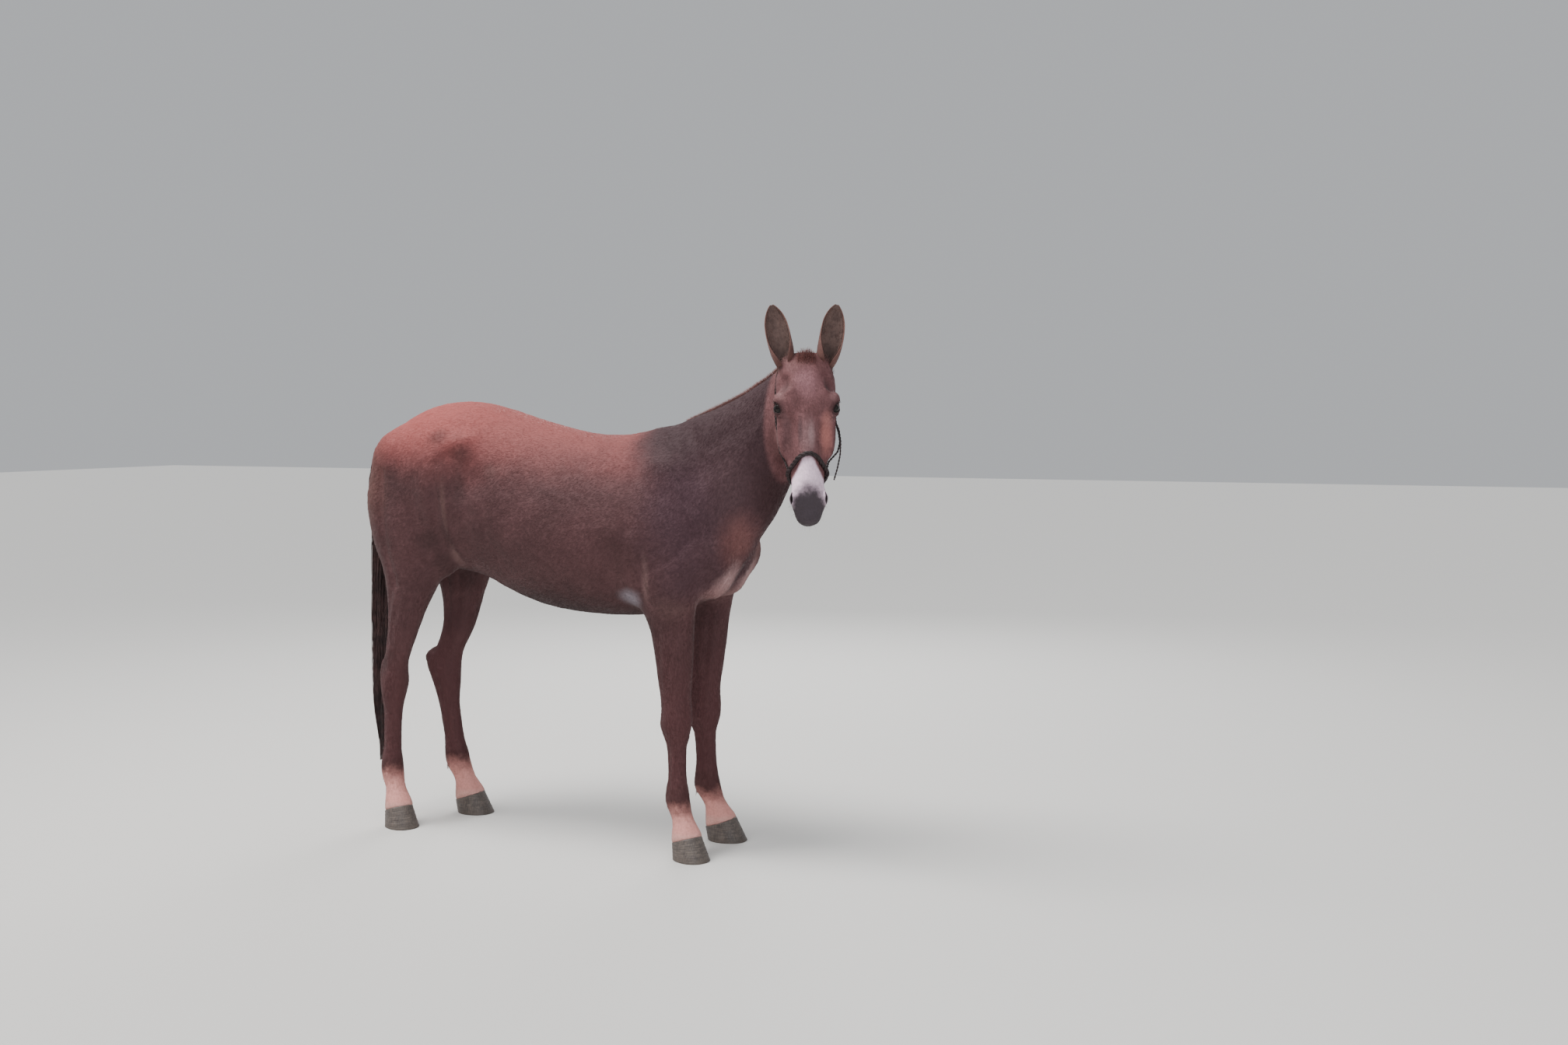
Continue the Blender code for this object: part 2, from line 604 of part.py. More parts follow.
def press(thing, frame, presses):
    """Moves the skin in or out along its own normals, near each of the places."""
    count = len(thing.data.vertices)
    places = np.empty(3 * count)
    thing.data.vertices.foreach_get("co", places)
    places = places.reshape(-1, 3)
    normals = np.empty(3 * count)
    thing.data.vertex_normals.foreach_get("vector", normals)
    normals = normals.reshape(-1, 3)
    back = np.array(frame.inverted())
    local = places @ back[:3, :3].T + back[:3, 3]
    moved = np.zeros(count)
    for centre, reach, amount in presses.values():
        for side in (-1, 1) if centre[1] else (1,):
            apart = (local - np.array(mirrored(centre, side))) / np.array(reach)
            near = np.clip(1.0 - (apart**2).sum(axis=1), 0.0, 1.0)
            moved += amount * near**2
    thing.data.vertices.foreach_set("co", (places + normals * moved[:, None]).ravel())
    thing.data.update()


def fuse(pieces, frame):
    """One smooth skin over all the pieces, with its hollows and swellings pressed in."""
    with bpy.context.temp_override(active_object=pieces[0], selected_editable_objects=pieces):
        bpy.ops.object.join()
    whole = pieces[0]
    whole.name = "whole"
    remesh = whole.modifiers.new("Remesh", "REMESH")
    remesh.mode = "VOXEL"
    remesh.voxel_size = VOXEL
    whole = settle(whole)
    soft = whole.vertex_groups.new(name="soft")
    for vertex in whole.data.vertices:
        soft.add([vertex.index], softness(vertex.co), "REPLACE")
    smooth = whole.modifiers.new("Smooth", "SMOOTH")
    smooth.factor = 0.5
    smooth.iterations = SKIN_ROUNDS
    smooth.vertex_group = soft.name
    whole = settle(whole)
    press(whole, Matrix.Identity(4), BODY_PRESSES)
    press(whole, frame, HEAD_PRESSES)
    last = whole.modifiers.new("Smooth", "SMOOTH")
    last.factor = 0.5
    last.iterations = LAST_ROUNDS
    return settle(whole)


def thinned(whole):
    """The skin with fewer triangles, most of them where it bends most."""
    give = whole.vertex_groups.new(name="give")
    for vertex in whole.data.vertices:
        place = vertex.co
        on_trunk = eased((place.z - 0.60) / 0.30)
        weight = GIVES["legs"] + (GIVES["trunk"] - GIVES["legs"]) * on_trunk
        if is_head(place):
            weight = GIVES["head"]
        give.add([vertex.index], weight, "REPLACE")
    thin = whole.modifiers.new("Decimate", "DECIMATE")
    thin.ratio = SKIN_TRIANGLES / (2 * len(whole.data.polygons))
    thin.vertex_group = give.name
    thin.vertex_group_factor = THIN_PULL
    thin.use_collapse_triangulate = True
    return settle(whole)


def part_off(whole, name, cuts):
    """A copy of the skin that keeps what lies in front of every cut, closed by flat faces.

    Each cut is a point and a normal. The cut face stands half a gap inside the plane.
    """
    shape = bmesh.new()
    shape.from_mesh(whole.data)
    for point, normal in cuts:
        facing = Vector(normal).normalized()
        cut = bmesh.ops.bisect_plane(
            shape, geom=[*shape.verts, *shape.edges, *shape.faces],
            plane_co=Vector(point) + facing * GAP / 2, plane_no=-facing, clear_outer=True,
        )
        rim = [part for part in cut["geom_cut"] if isinstance(part, bmesh.types.BMVert)]
        bmesh.ops.remove_doubles(shape, verts=rim, dist=RIM_MERGE)
    rims = [edge for edge in shape.edges if edge.is_boundary]
    bmesh.ops.holes_fill(shape, edges=rims, sides=0)
    bmesh.ops.triangulate(shape, faces=[face for face in shape.faces if len(face.verts) > 3])
    return keep_largest(solid(name, shape))


def keep_largest(thing):
    """Drops every closed surface but the largest."""
    shape = bmesh.new()
    shape.from_mesh(thing.data)
    left = set(shape.verts)
    groups = []
    while left:
        group, edge_of = set(), [left.pop()]
        while edge_of:
            vertex = edge_of.pop()
            group.add(vertex)
            for edge in vertex.link_edges:
                other = edge.other_vert(vertex)
                if other in left:
                    left.discard(other)
                    edge_of.append(other)
        groups.append(group)
    groups.sort(key=len)
    for group in groups[:-1]:
        bmesh.ops.delete(shape, geom=list(group), context="VERTS")
    shape.to_mesh(thing.data)
    shape.free()
    return thing


def combine(thing, tools, operation):
    """Joins or cuts a node by one Boolean on a collection of closed meshes, then drops the tools."""
    box = make_collection("tools")
    for tool in tools:
        bpy.context.scene.collection.objects.unlink(tool)
        box.objects.link(tool)
    change = thing.modifiers.new("Boolean", "BOOLEAN")
    change.operation = operation
    change.operand_type = "COLLECTION"
    change.collection = box
    change.solver = "MANIFOLD"
    done = settle(thing)
    for tool in list(box.objects):
        bpy.data.objects.remove(tool, do_unlink=True)
    bpy.data.collections.remove(box)
    return keep_largest(done)


def swollen(thing):
    """A copy of a node whose surface stands out a little, to cut clearance with."""
    shape = bmesh.new()
    shape.from_mesh(thing.data)
    shape.normal_update()
    moves = {vertex: vertex.normal * CLEAR for vertex in shape.verts}
    for vertex, move in moves.items():
        vertex.co += move
    return solid("swollen", shape)


def clear_of(thing, others):
    """The node with what would touch the others cut away."""
    return combine(thing, [swollen(other) for other in others], "DIFFERENCE")


def surface_of(*things):
    """A tree for casting rays at several nodes at once."""
    corners, faces = [], []
    for thing in things:
        start = len(corners)
        corners += [vertex.co.copy() for vertex in thing.data.vertices]
        faces += [[start + index for index in face.vertices] for face in thing.data.polygons]
    return BVHTree.FromPolygons(corners, faces)


def lid_opening(frame, side):
    """The almond between the lids, as a cutter that widens outward from inside the eyeball."""
    shape = bmesh.new()
    half_length, upper, lower = LID_OPENING
    loops = []
    for depth, scale in LID_DEPTHS:
        loop = []
        for k in range(16):
            angle = 2 * math.pi * k / 16
            rise = math.copysign(abs(math.sin(angle)) ** 1.2, math.sin(angle))
            rise *= upper if rise > 0 else lower
            place = Vector((half_length * math.cos(angle) * scale, rise * scale, depth))
            loop.append(shape.verts.new(eye_frame(frame, side) @ place))
        loops.append(loop)
    skin_between(shape, loops)
    return solid("opening", shape)


def mouth_line(skin, frame):
    """Points of the mouth's line on the muzzle, from one corner round the lips to the other."""
    tree = surface_of(skin)
    found = []
    for k in range(25):
        angle = math.radians(-128 + 256 * k / 24)
        way = Vector((math.cos(angle), math.sin(angle), 0.0))
        start = Vector((0.520, 0.0, MOUTH_LEVEL - 0.012 * (1 - math.cos(angle)) / 2))
        hit = tree.ray_cast(frame @ (start + way * 0.2), frame.to_3x3() @ -way)[0]
        if hit and (frame.inverted() @ hit).x > MOUTH_CORNER:
            found.append(hit)
    return found


def finish_head(head, frame):
    """Lids round the eyes, sockets, nostrils and the line of the mouth."""
    lids = []
    for side in (-1, 1):
        lids.append(ellipsoid("lid", (0, 0, 0), LID_MASS_RADII, segments=20, frame=eye_frame(frame, side)))
    head = combine(head, lids, "UNION")
    cutters = [tube("mouth", mouth_line(head, frame), MOUTH_GROOVE_RADIUS, sides=6)]
    for side in (-1, 1):
        eye = eye_frame(frame, side)
        cutters.append(ellipsoid("socket", (0, 0, 0), [EYE_RADIUS + GAP * 1.3] * 3, segments=16, frame=eye))
        cutters.append(lid_opening(frame, side))
        nostril = frame @ Matrix.Translation(mirrored(NOSTRIL_CENTRE, side))
        nostril = nostril @ Matrix.Rotation(NOSTRIL_TILT, 4, "Y") @ Matrix.Rotation(-0.25 * side, 4, "Z")
        cutters.append(ellipsoid("nostril", (0, 0, 0), NOSTRIL_RADII, segments=14, frame=nostril))
    head = combine(head, cutters, "DIFFERENCE")
    head.name = "head"
    return head


def eyes(frame):
    """The two eyeballs, each in its socket."""
    for side, name in ((-1, "eye_right"), (1, "eye_left")):
        ellipsoid(name, (0, 0, 0), [EYE_RADIUS] * 3, segments=16, frame=eye_frame(frame, side))


def ear(name, side, frame, head):
    """A cupped ear with the same triangles on both faces, cut clear of the head at its root."""
    rows = through([(share, 0, 0, radius, angle) for share, radius, angle in EAR_CUP], EAR_ROWS)
    up = Vector(mirrored(EAR_POINTS, side)).normalized()
    opens = Vector(mirrored(EAR_OPENS, side))
    opens = (opens - up * opens.dot(up)).normalized()
    across = up.cross(opens)
    shape = bmesh.new()
    sheets = []
    for inset in (0.0, EAR_THICKNESS):
        grid = []
        for share, _, _, radius, angle in rows:
            thin = inset * (1.0 - 0.45 * share)
            lift = EAR_LENGTH * share - (thin if share > 0.99 else 0.0)
            centre = Vector(mirrored(EAR_ROOT, side)) + up * lift + opens * radius * 0.55
            half = math.radians(angle)
            reach = max(radius - thin, 0.0015)
            line = []
            for k in range(EAR_COLUMNS):
                turn = half * (2 * k / (EAR_COLUMNS - 1) - 1)
                place = across * math.sin(turn) * reach - opens * math.cos(turn) * reach
                line.append(shape.verts.new(frame @ (centre + place)))
            grid.append(line)
        sheets.append(grid)
    outer, inner = sheets
    last = len(rows) - 1
    for i in range(last):
        for k in range(EAR_COLUMNS - 1):
            for grid in sheets:
                a, b, c, d = grid[i][k], grid[i][k + 1], grid[i + 1][k + 1], grid[i + 1][k]
                shape.faces.new((a, b, c))
                shape.faces.new((a, c, d))
        for k in (0, EAR_COLUMNS - 1):
            shape.faces.new((outer[i][k], outer[i + 1][k], inner[i + 1][k], inner[i][k]))
    for i in (0, last):
        for k in range(EAR_COLUMNS - 1):
            shape.faces.new((outer[i][k], outer[i][k + 1], inner[i][k + 1], inner[i][k]))
    return clear_of(solid(name, shape), [head])


def hoof(stance):
    """One hoof, a widening cone between the sloping coronet and the flat sole."""
    out = 0.120 if STANCE[stance][0] == "fore" else 0.121
    slope = Vector((CORONET_TOE[0] - CORONET_HEEL[0], CORONET_TOE[1] - CORONET_HEEL[1]))
    drop = GAP / 2 * slope.length / slope.x
    stations = []
    for share in (0.0, 0.5, 1.0):
        toe = CORONET_TOE[0] + (SOLE_TOE - CORONET_TOE[0]) * share
        heel = CORONET_HEEL[0] + (SOLE_HEEL - CORONET_HEEL[0]) * share
        width = CORONET_HALF_WIDTH + (SOLE_HALF_WIDTH - CORONET_HALF_WIDTH) * share
        top = foot_point(stance, (CORONET_TOE[1] - drop) * (1 - share), toe, out)
        low = foot_point(stance, (CORONET_HEEL[1] - drop) * (1 - share), heel, out)
        stations.append((top, low, width, 0.5, 2.15, 2.15))
    return rail_loft(stance.replace("leg", "hoof"), stations, 4, 24)


def coronet_cut(stance):
    """The plane that parts a leg from its hoof: a point of it and the normal towards the leg."""
    toe = Vector(foot_point(stance, CORONET_TOE[1], CORONET_TOE[0], 0.120))
    heel = Vector(foot_point(stance, CORONET_HEEL[1], CORONET_HEEL[0], 0.120))
    turn = STANCE[stance][4]
    across = Vector((-math.sin(turn), math.cos(turn), 0.0))
    return toe, (toe - heel).cross(across).normalized()


def legs(whole):
    """The four legs with their hooves."""
    for stance, (kind, side, *_) in STANCE.items():
        half = 1 if kind == "fore" else -1
        cuts = [((0, 0, LEG_TOP), (0, 0, -1)), ((0, 0, 0), (half, 0, 0)), ((0, 0, 0), (0, side, 0))]
        cuts.append(coronet_cut(stance))
        part_off(whole, stance, cuts)
        hoof(stance)


def tail_core():
    """The middle of the tail, from the dock to where only locks go on."""
    stations = []
    line = [Vector((x, 0, z)) for x, z, *_ in TAIL_LINE]
    for k, (x, z, half_depth, half_width) in enumerate(TAIL_LINE):
        run = (line[min(k + 1, len(line) - 1)] - line[max(k - 1, 0)]).normalized()
        out = Vector((0, 1, 0)).cross(run).normalized()
        stations.append((line[k] + out * half_depth, line[k] - out * half_depth, half_width, 0.5, 2.0, 2.0))
    return rail_loft("tail", stations, 20, 10)


def tail_lock(line, around, share_from, share_to, sizes, chance):
    """One lock that leaves the core, lies along it and tapers below it."""
    points, outs = [], []
    bow = chance.uniform(0.9, 1.25)
    sway = chance.uniform(-0.35, 0.35)
    for k in range(LOCK_ROWS):
        step = k / (LOCK_ROWS - 1)
        share = share_from + (share_to - share_from) * step
        x, _, z, half_depth, half_width = line[min(int(share * (len(line) - 1)), len(line) - 1)]
        beyond = max(0.0, share - 1.0) * (TAIL_LINE[0][1] - TAIL_LINE[-1][1])
        angle = around + sway * math.sin(math.pi * step)
        reach = 0.45 + (bow - 0.45) * math.sin(math.pi * min(1.0, step * 1.25) / 2)
        out = Vector((-math.cos(angle), math.sin(angle), 0.0))
        depth, width = max(half_depth, 0.010), max(half_width, 0.016)
        points.append(Vector((x + out.x * depth * reach, out.y * width * reach, z - beyond)))
        outs.append(out)
    return lock(points, outs, *sizes)


def tail():
    """The tail: its core with locks all round, fused, and parted from the dock."""
    chance = random.Random(SEED)
    line = through([(x, 0, z, half_depth, half_width) for x, z, half_depth, half_width in TAIL_LINE], 80)
    locks = []
    for count, share_from, share_to, *sizes in TAIL_LOCKS:
        for k in range(count):
            around = 2 * math.pi * (k + chance.uniform(-0.2, 0.2)) / count
            start = share_from + chance.uniform(-0.04, 0.04)
            end = share_to + chance.uniform(-0.10, 0.04)
            locks.append(tail_lock(line, around, start, end, sizes, chance))
    whole = combine(tail_core(), locks, "UNION")
    shape = bmesh.new()
    bmesh.ops.create_cube(shape, size=1.0)
    shape.transform(Matrix.Translation((DOCK_CUT_X - GAP / 2 + 0.5, 0, 1.0)) @ Matrix.Diagonal((1, 1, 2, 1)))
    whole = combine(whole, [solid("dock_side", shape)], "DIFFERENCE")
    whole.name = "tail"


def crest_points(tree, count):
    """Points of the crest with the way that they face, from the withers to the poll."""
    rows = through([(*crest, *under) for crest, under, _ in NECK], 120)
    found = []
    for k in range(count):
        share = MANE_FROM + (MANE_TO - MANE_FROM) * k / (count - 1)
        row = rows[int(share * 119)]
        out = (Vector(row[0:3]) - Vector(row[3:6])).normalized()
        hit = tree.ray_cast(Vector(row[0:3]) + out * 0.15, -out)[0]
        found.append((hit, out))
    return found


def mane(under):
    """The roached mane: a low core along the crest with a row of short tufts fused to it."""
    chance = random.Random(SEED + 1)
    crest = crest_points(surface_of(*under), MANE_TUFTS)
    stations = []
    for point, out in crest:
        stations.append((point + out * 0.005, point - out * MANE_SINK, MANE_CORE_HALF_WIDTH, 0.5, 1.8, 1.8))
    core = rail_loft("mane", stations, MANE_CORE_RINGS, 6)
    tufts = []
    for k, (point, out) in enumerate(crest):
        ahead = crest[min(k + 1, MANE_TUFTS - 1)][0] - crest[max(k - 1, 0)][0]
        run = ahead.normalized()
        side = run.cross(out) * (-1) ** k
        height = MANE_HEIGHT * chance.uniform(0.8, 1.2)
        root = point - out * MANE_SINK * 0.8 + side * 0.001
        lean = side * chance.uniform(0.002, 0.005) - run * chance.uniform(-0.004, 0.006)
        points = [root, point + out * height * 0.3 + side * 0.001, point + out * height + lean]
        tufts.append(lock(points, [side] * 3, 0.0125, 0.0048))
    whole = combine(core, tufts, "UNION")
    whole.name = "mane"
    return clear_of(whole, under)


def forelock(frame, head, ears):
    """The short forelock: a pad on the poll with upright tufts fused to it."""
    chance = random.Random(SEED + 2)
    centre, radii = FORELOCK_PAD
    pad = ellipsoid("forelock", centre, radii, segments=12, frame=frame)
    turned = frame.to_3x3()
    tufts = []
    for k in range(FORELOCK_TUFTS):
        across = 2 * k / (FORELOCK_TUFTS - 1) - 1
        length = FORELOCK_LENGTH * chance.uniform(0.72, 1.15) * (1 - 0.3 * abs(across))
        root = Vector((0.050, across * 0.019, -0.026 + chance.uniform(-0.005, 0.005)))
        way = Vector((-1.0, across * 0.35 + chance.uniform(-0.16, 0.16), 0.25 + chance.uniform(-0.30, 0.35)))
        way.normalize()
        bend = Vector((0.35, 0.0, 0.30))
        points = []
        for step in (0.0, 0.35, 0.7, 1.0):
            points.append(frame @ (root + way * (length + 0.02) * step + bend * length * step * step * 0.5))
        out = turned @ Vector((0.2, 0.0, 1.0)).normalized()
        tufts.append(lock(points, [out] * 4, 0.0085, 0.0042))
    whole = combine(pad, tufts, "UNION")
    whole.name = "forelock"
    return clear_of(whole, [head, *ears])


def noseband(tree, frame):
    """Points of the noseband: a ring on the nose that slopes back to a heel under the jaw."""
    top, heel = Vector(BAND_TOP), Vector(BAND_HEEL)
    facing = (heel - top).cross(Vector((0, 1, 0))).normalized()
    first = Vector((0, 1, 0))
    second = facing.cross(first)
    centre = top.lerp(heel, 0.42)
    found = []
    for k in range(BAND_POINTS):
        angle = 2 * math.pi * k / BAND_POINTS
        way = first * math.cos(angle) + second * math.sin(angle)
        hit = tree.ray_cast(frame @ (centre + way * 0.3), frame.to_3x3() @ -way)[0]
        found.append(hit + frame.to_3x3() @ way * (BAND_RADIUS + 0.0006))
    return found


def headstall(tree, frame, on_nose):
    """Points of the headstall: up the left cheek, over the neck behind the ears, and down the right."""
    places = []
    for side in (1, -1):
        cheek = []
        for k in range(STRAP_CHEEK_POINTS):
            share = k / (STRAP_CHEEK_POINTS - 1)
            down = STRAP_DOWN_TO + (0.10 - STRAP_DOWN_TO) * share
            level = STRAP_LEVEL_LOW + (STRAP_LEVEL - STRAP_LEVEL_LOW) * eased(share * 1.4)
            slack = STRAP_SLACK * math.sin(math.pi * min(1.0, share * 1.9)) if side > 0 and share < 0.53 else 0.0
            cheek.append((Vector((down, 0, level)), Vector((0, side, 0)), slack))
        places.append(cheek)
    crown = []
    for k in range(STRAP_CROWN_POINTS):
        angle = math.radians(8 + 164 * k / (STRAP_CROWN_POINTS - 1))
        crown.append((Vector((0.09, 0, STRAP_LEVEL)), Vector((-math.sin(angle), math.cos(angle), 0)), 0.0))
    found = [on_nose[0]]
    for centre, way, slack in (*places[0], *crown, *reversed(places[1])):
        turned = frame.to_3x3() @ way
        hit = tree.ray_cast(frame @ (centre + way * 0.3), -turned)[0]
        found.append(hit + turned * (STRAP_RADIUS + 0.0020 + slack))
    return [*found, on_nose[len(on_nose) // 2]]


def halter(frame, head, neck_node, ears):
    """The noseband with its knots and the headstall, fused into one piece clear of the head."""
    on_nose = noseband(surface_of(head), frame)
    band = tube("halter", on_nose, BAND_RADIUS, cyclic=True, sides=6)
    heel = max(on_nose, key=lambda point: -(frame.inverted() @ point).z)
    left_side = max(on_nose, key=lambda point: (frame.inverted() @ point).y)
    turned = frame.to_3x3().to_4x4()
    pieces = [
        tube("strap", headstall(surface_of(head, neck_node), frame, on_nose), STRAP_RADIUS, sides=6),
        ellipsoid("knot", (0, 0, 0), HEEL_KNOT_RADII, segments=12, frame=Matrix.Translation(heel) @ turned),
        ellipsoid("knot", (0, 0, 0), SIDE_KNOT_RADII, segments=12, frame=Matrix.Translation(left_side) @ turned),
    ]
    whole = combine(band, pieces, "UNION")
    whole.name = "halter"
    return clear_of(whole, [head, neck_node, *ears])


def head_wedge():
    """A block that holds the head with its clearance, and nothing of the neck."""
    shape = bmesh.new()
    bmesh.ops.create_cube(shape, size=4.0)
    block = solid("block", shape)
    cuts = [(Vector(point) - Vector(normal).normalized() * GAP, normal) for point, normal in HEAD_CUTS]
    wedge = part_off(block, "wedge", cuts)
    bpy.data.objects.remove(block, do_unlink=True)
    return wedge


def head_neck_torso(whole):
    """The head, the neck behind it and the torso, parted by their planes."""
    base_back = tuple(-value for value in NECK_BASE_NORMAL)
    head = part_off(whole, "head", HEAD_CUTS)
    neck_node = combine(part_off(whole, "neck", [(NECK_BASE_POINT, NECK_BASE_NORMAL)]), [head_wedge()], "DIFFERENCE")
    neck_node.name = "neck"
    trunk_cuts = [(NECK_BASE_POINT, base_back), ((0, 0, LEG_TOP), (0, 0, 1)), ((DOCK_CUT_X, 0, 0), (1, 0, 0))]
    return head, neck_node, part_off(whole, "torso", trunk_cuts)


MATERIAL_OF = {
    "head": "muzzle", "neck": "coat", "torso": "coat", "leg": "coat", "ear": "coat",
    "tail": "hair", "mane": "hair", "forelock": "hair",
    "hoof": "horn", "eye": "eye", "halter": "leather",
}


def dress(node, collection, materials):
    """Gives a node its material and smooth shading, and files it with the mule."""
    word = next(word for word in MATERIAL_OF if word in node.name)
    node.data.materials.clear()
    node.data.materials.append(materials[MATERIAL_OF[word]])
    node.data.shade_smooth()
    node.data.set_sharp_from_angle(angle=math.radians(40))
    bpy.context.scene.collection.objects.unlink(node)
    collection.objects.link(node)


def centre_nodes():
    """Moves all nodes together, so that the origin lies under the middle of the whole."""
    nodes = list(bpy.context.scene.collection.objects)
    places = [vertex.co for node in nodes for vertex in node.data.vertices]
    middle_x = (min(place.x for place in places) + max(place.x for place in places)) / 2
    middle_y = (min(place.y for place in places) + max(place.y for place in places)) / 2
    for node in nodes:
        node.data.transform(Matrix.Translation((-middle_x, -middle_y, 0.0)))


def main():
    """Builds the mule, node by node."""
    clear_scene()
    frame = head_frame()
    flesh = [trunk(), neck(), head_flesh(frame)]
    flesh += [leg_flesh(stance) for stance in STANCE]
    flesh += soft_parts(frame)
    whole = thinned(fuse(flesh, frame))
    head, neck_node, torso = head_neck_torso(whole)
    legs(whole)
    bpy.data.objects.remove(whole, do_unlink=True)
    head = finish_head(head, frame)
    eyes(frame)
    ears = [ear("ear_right", -1, frame, head), ear("ear_left", 1, frame, head)]
    tail()
    mane([torso, neck_node, head])
    forelock(frame, head, ears)
    halter(frame, head, neck_node, ears)
    centre_nodes()
    collection = make_collection("mule")
    materials = {name: make_material(name) for name in COLOURS}
    for node in list(bpy.context.scene.collection.objects):
        dress(node, collection, materials)


main()
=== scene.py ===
"""A life-size mule, standing and looking round over its right side, dressed over its solids.

Metres, +X towards the animal's front, +Y towards its left, +Z up. Places on the body are
written as they were measured, and WHERE carries them to the middle of the finished model.
"""

import math
from collections import Counter

import bmesh
import bpy
import numpy as np
from mathutils import Matrix, Vector
from mathutils.bvhtree import BVHTree


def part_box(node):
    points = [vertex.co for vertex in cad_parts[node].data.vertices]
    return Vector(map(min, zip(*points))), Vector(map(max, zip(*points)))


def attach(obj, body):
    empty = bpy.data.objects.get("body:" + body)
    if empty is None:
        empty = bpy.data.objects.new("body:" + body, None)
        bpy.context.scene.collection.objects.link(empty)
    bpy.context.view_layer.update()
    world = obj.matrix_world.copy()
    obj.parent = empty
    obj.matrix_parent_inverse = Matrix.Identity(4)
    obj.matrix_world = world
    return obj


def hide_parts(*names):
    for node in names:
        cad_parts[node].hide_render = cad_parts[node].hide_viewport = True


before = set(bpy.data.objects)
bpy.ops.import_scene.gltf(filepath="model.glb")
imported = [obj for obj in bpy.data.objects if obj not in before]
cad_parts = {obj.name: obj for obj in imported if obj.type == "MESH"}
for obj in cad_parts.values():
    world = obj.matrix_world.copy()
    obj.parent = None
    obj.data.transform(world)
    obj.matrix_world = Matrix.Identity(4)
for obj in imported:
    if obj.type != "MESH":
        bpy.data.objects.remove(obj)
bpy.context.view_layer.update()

bl_info = {
    "name": "Mule",
    "version": (1, 0, 0),
    "blender": (4, 5, 0),
    "location": "3D View > Sidebar > Mule",
    "description": "Skin, coat, eyes, hooves, hair and halter of a life-size mule",
    "category": "Object",
}

SEED = 11

# The head: where it is held. Its own frame runs down the face, to the animal's left, and out of the face
POLL = (0.904, -0.132, 1.691)
HEAD_YAW = math.radians(-65.0)
HEAD_PITCH = math.radians(13.5)
HEAD_ROLL = math.radians(0.5)
# Cuts behind and under the jaw: a place on each, and the way to the head's side of it
HEAD_CUTS = (
    ((0.828, 0.002, 1.500), (0.64, -0.76, -0.05)),
    ((0.830, 0.020, 1.372), (0.45, -0.70, 0.55)),
)

# Eyes, nostrils and ears: where they stand in the head's frame and where they face, on the left
EYE_RADIUS = 0.0230
EYE_CENTRE = (0.197, 0.0800, -0.040)
EYE_LOOKS = (0.04, 0.87, 0.49)
EYE_UPWARD = (-0.57, 0.0, 0.82)
CORNEA_RISE = 0.0009
CORNEA_REACH = 0.0145

NOSTRIL_CENTRE = (0.488, 0.0455, -0.0290)
NOSTRIL_OPENS = (-0.02, 0.86, 0.50)
NOSTRIL_SLOPE = math.radians(16)

EAR_ROOT = (0.070, 0.0570, -0.066)
EAR_POINTS = (-0.970, 0.215, 0.06)
EAR_OPENS = (0.20, 0.14, 1.0)

# Stance of each leg: kind, side, axis x at the knee or hock, axis x at the fetlock, toe turned out
STANCE = {
    "fore_leg_right": ("fore", -1, 0.437, 0.441, math.radians(-28)),
    "fore_leg_left": ("fore", 1, 0.428, 0.438, math.radians(3)),
    "hind_leg_right": ("hind", -1, -0.690, -0.706, math.radians(-30)),
    "hind_leg_left": ("hind", 1, -0.652, -0.588, math.radians(2)),
}
FLESH = ("head", "neck", "torso", *STANCE)
# Height of the knee or hock, and the heights where the leg starts to turn out and has done so
LEG_HEIGHTS = {"fore": (0.45, 0.82, 0.52), "hind": (0.55, 0.98, 0.64)}
FETLOCK_HEIGHT = 0.20
HOOF_HEIGHT = 0.10
# How far out from the body's middle a leg and a foot stand
LEG_OUT = 0.122
FOOT_OUT = {"fore": 0.120, "hind": 0.121}

# Neck: points of the crest, from the withers to the poll, and of the underline across from them
CREST = (
    ((0.420, 0.000, 1.458), (0.645, 0.000, 1.020)),
    ((0.535, 0.000, 1.501), (0.730, 0.000, 1.120)),
    ((0.638, 0.000, 1.546), (0.776, 0.000, 1.206)),
    ((0.730, -0.010, 1.600), (0.808, 0.004, 1.285)),
    ((0.790, -0.034, 1.634), (0.828, 0.012, 1.350)),
)

# Tail: x and height of the line that it hangs along, and its half depth and half width
TAIL_LINE = (
    (-0.735, 1.352, 0.040, 0.038),
    (-0.784, 1.330, 0.042, 0.040),
    (-0.818, 1.262, 0.038, 0.042),
    (-0.824, 1.100, 0.032, 0.044),
    (-0.828, 0.850, 0.028, 0.046),
    (-0.834, 0.600, 0.025, 0.044),
    (-0.840, 0.400, 0.018, 0.033),
    (-0.838, 0.260, 0.007, 0.013),
)

# Camera: where it stands, how far it is turned and tipped, and its lens on a 36 mm frame
CAMERA_AT = (2.842, -4.943, 1.482)
CAMERA_YAW = math.radians(22.71)
CAMERA_PITCH = math.radians(-3.90)
CAMERA_LENS = 37.5
CAMERA_FILM = 36.0


def head_frame():
    """The head's own frame: X down the face, Y to the animal's left, Z out of the face."""
    forward = Vector((math.cos(HEAD_YAW), math.sin(HEAD_YAW), 0.0))
    down = Vector((0.0, 0.0, -math.cos(HEAD_PITCH))) + forward * math.sin(HEAD_PITCH)
    out = forward * math.cos(HEAD_PITCH) + Vector((0.0, 0.0, math.sin(HEAD_PITCH)))
    axes = Matrix((down, out.cross(down), out)).transposed().to_4x4()
    return Matrix.Translation(POLL) @ axes @ Matrix.Rotation(HEAD_ROLL, 4, "Z")


def mirrored(point, side):
    """The point itself for side 1, and its mirror across the middle for side -1."""
    return (point[0], point[1] * side, point[2])


def squared(way, axis):
    """The part of a direction that stands square to an axis, at length one."""
    return (way - axis * way.dot(axis)).normalized()


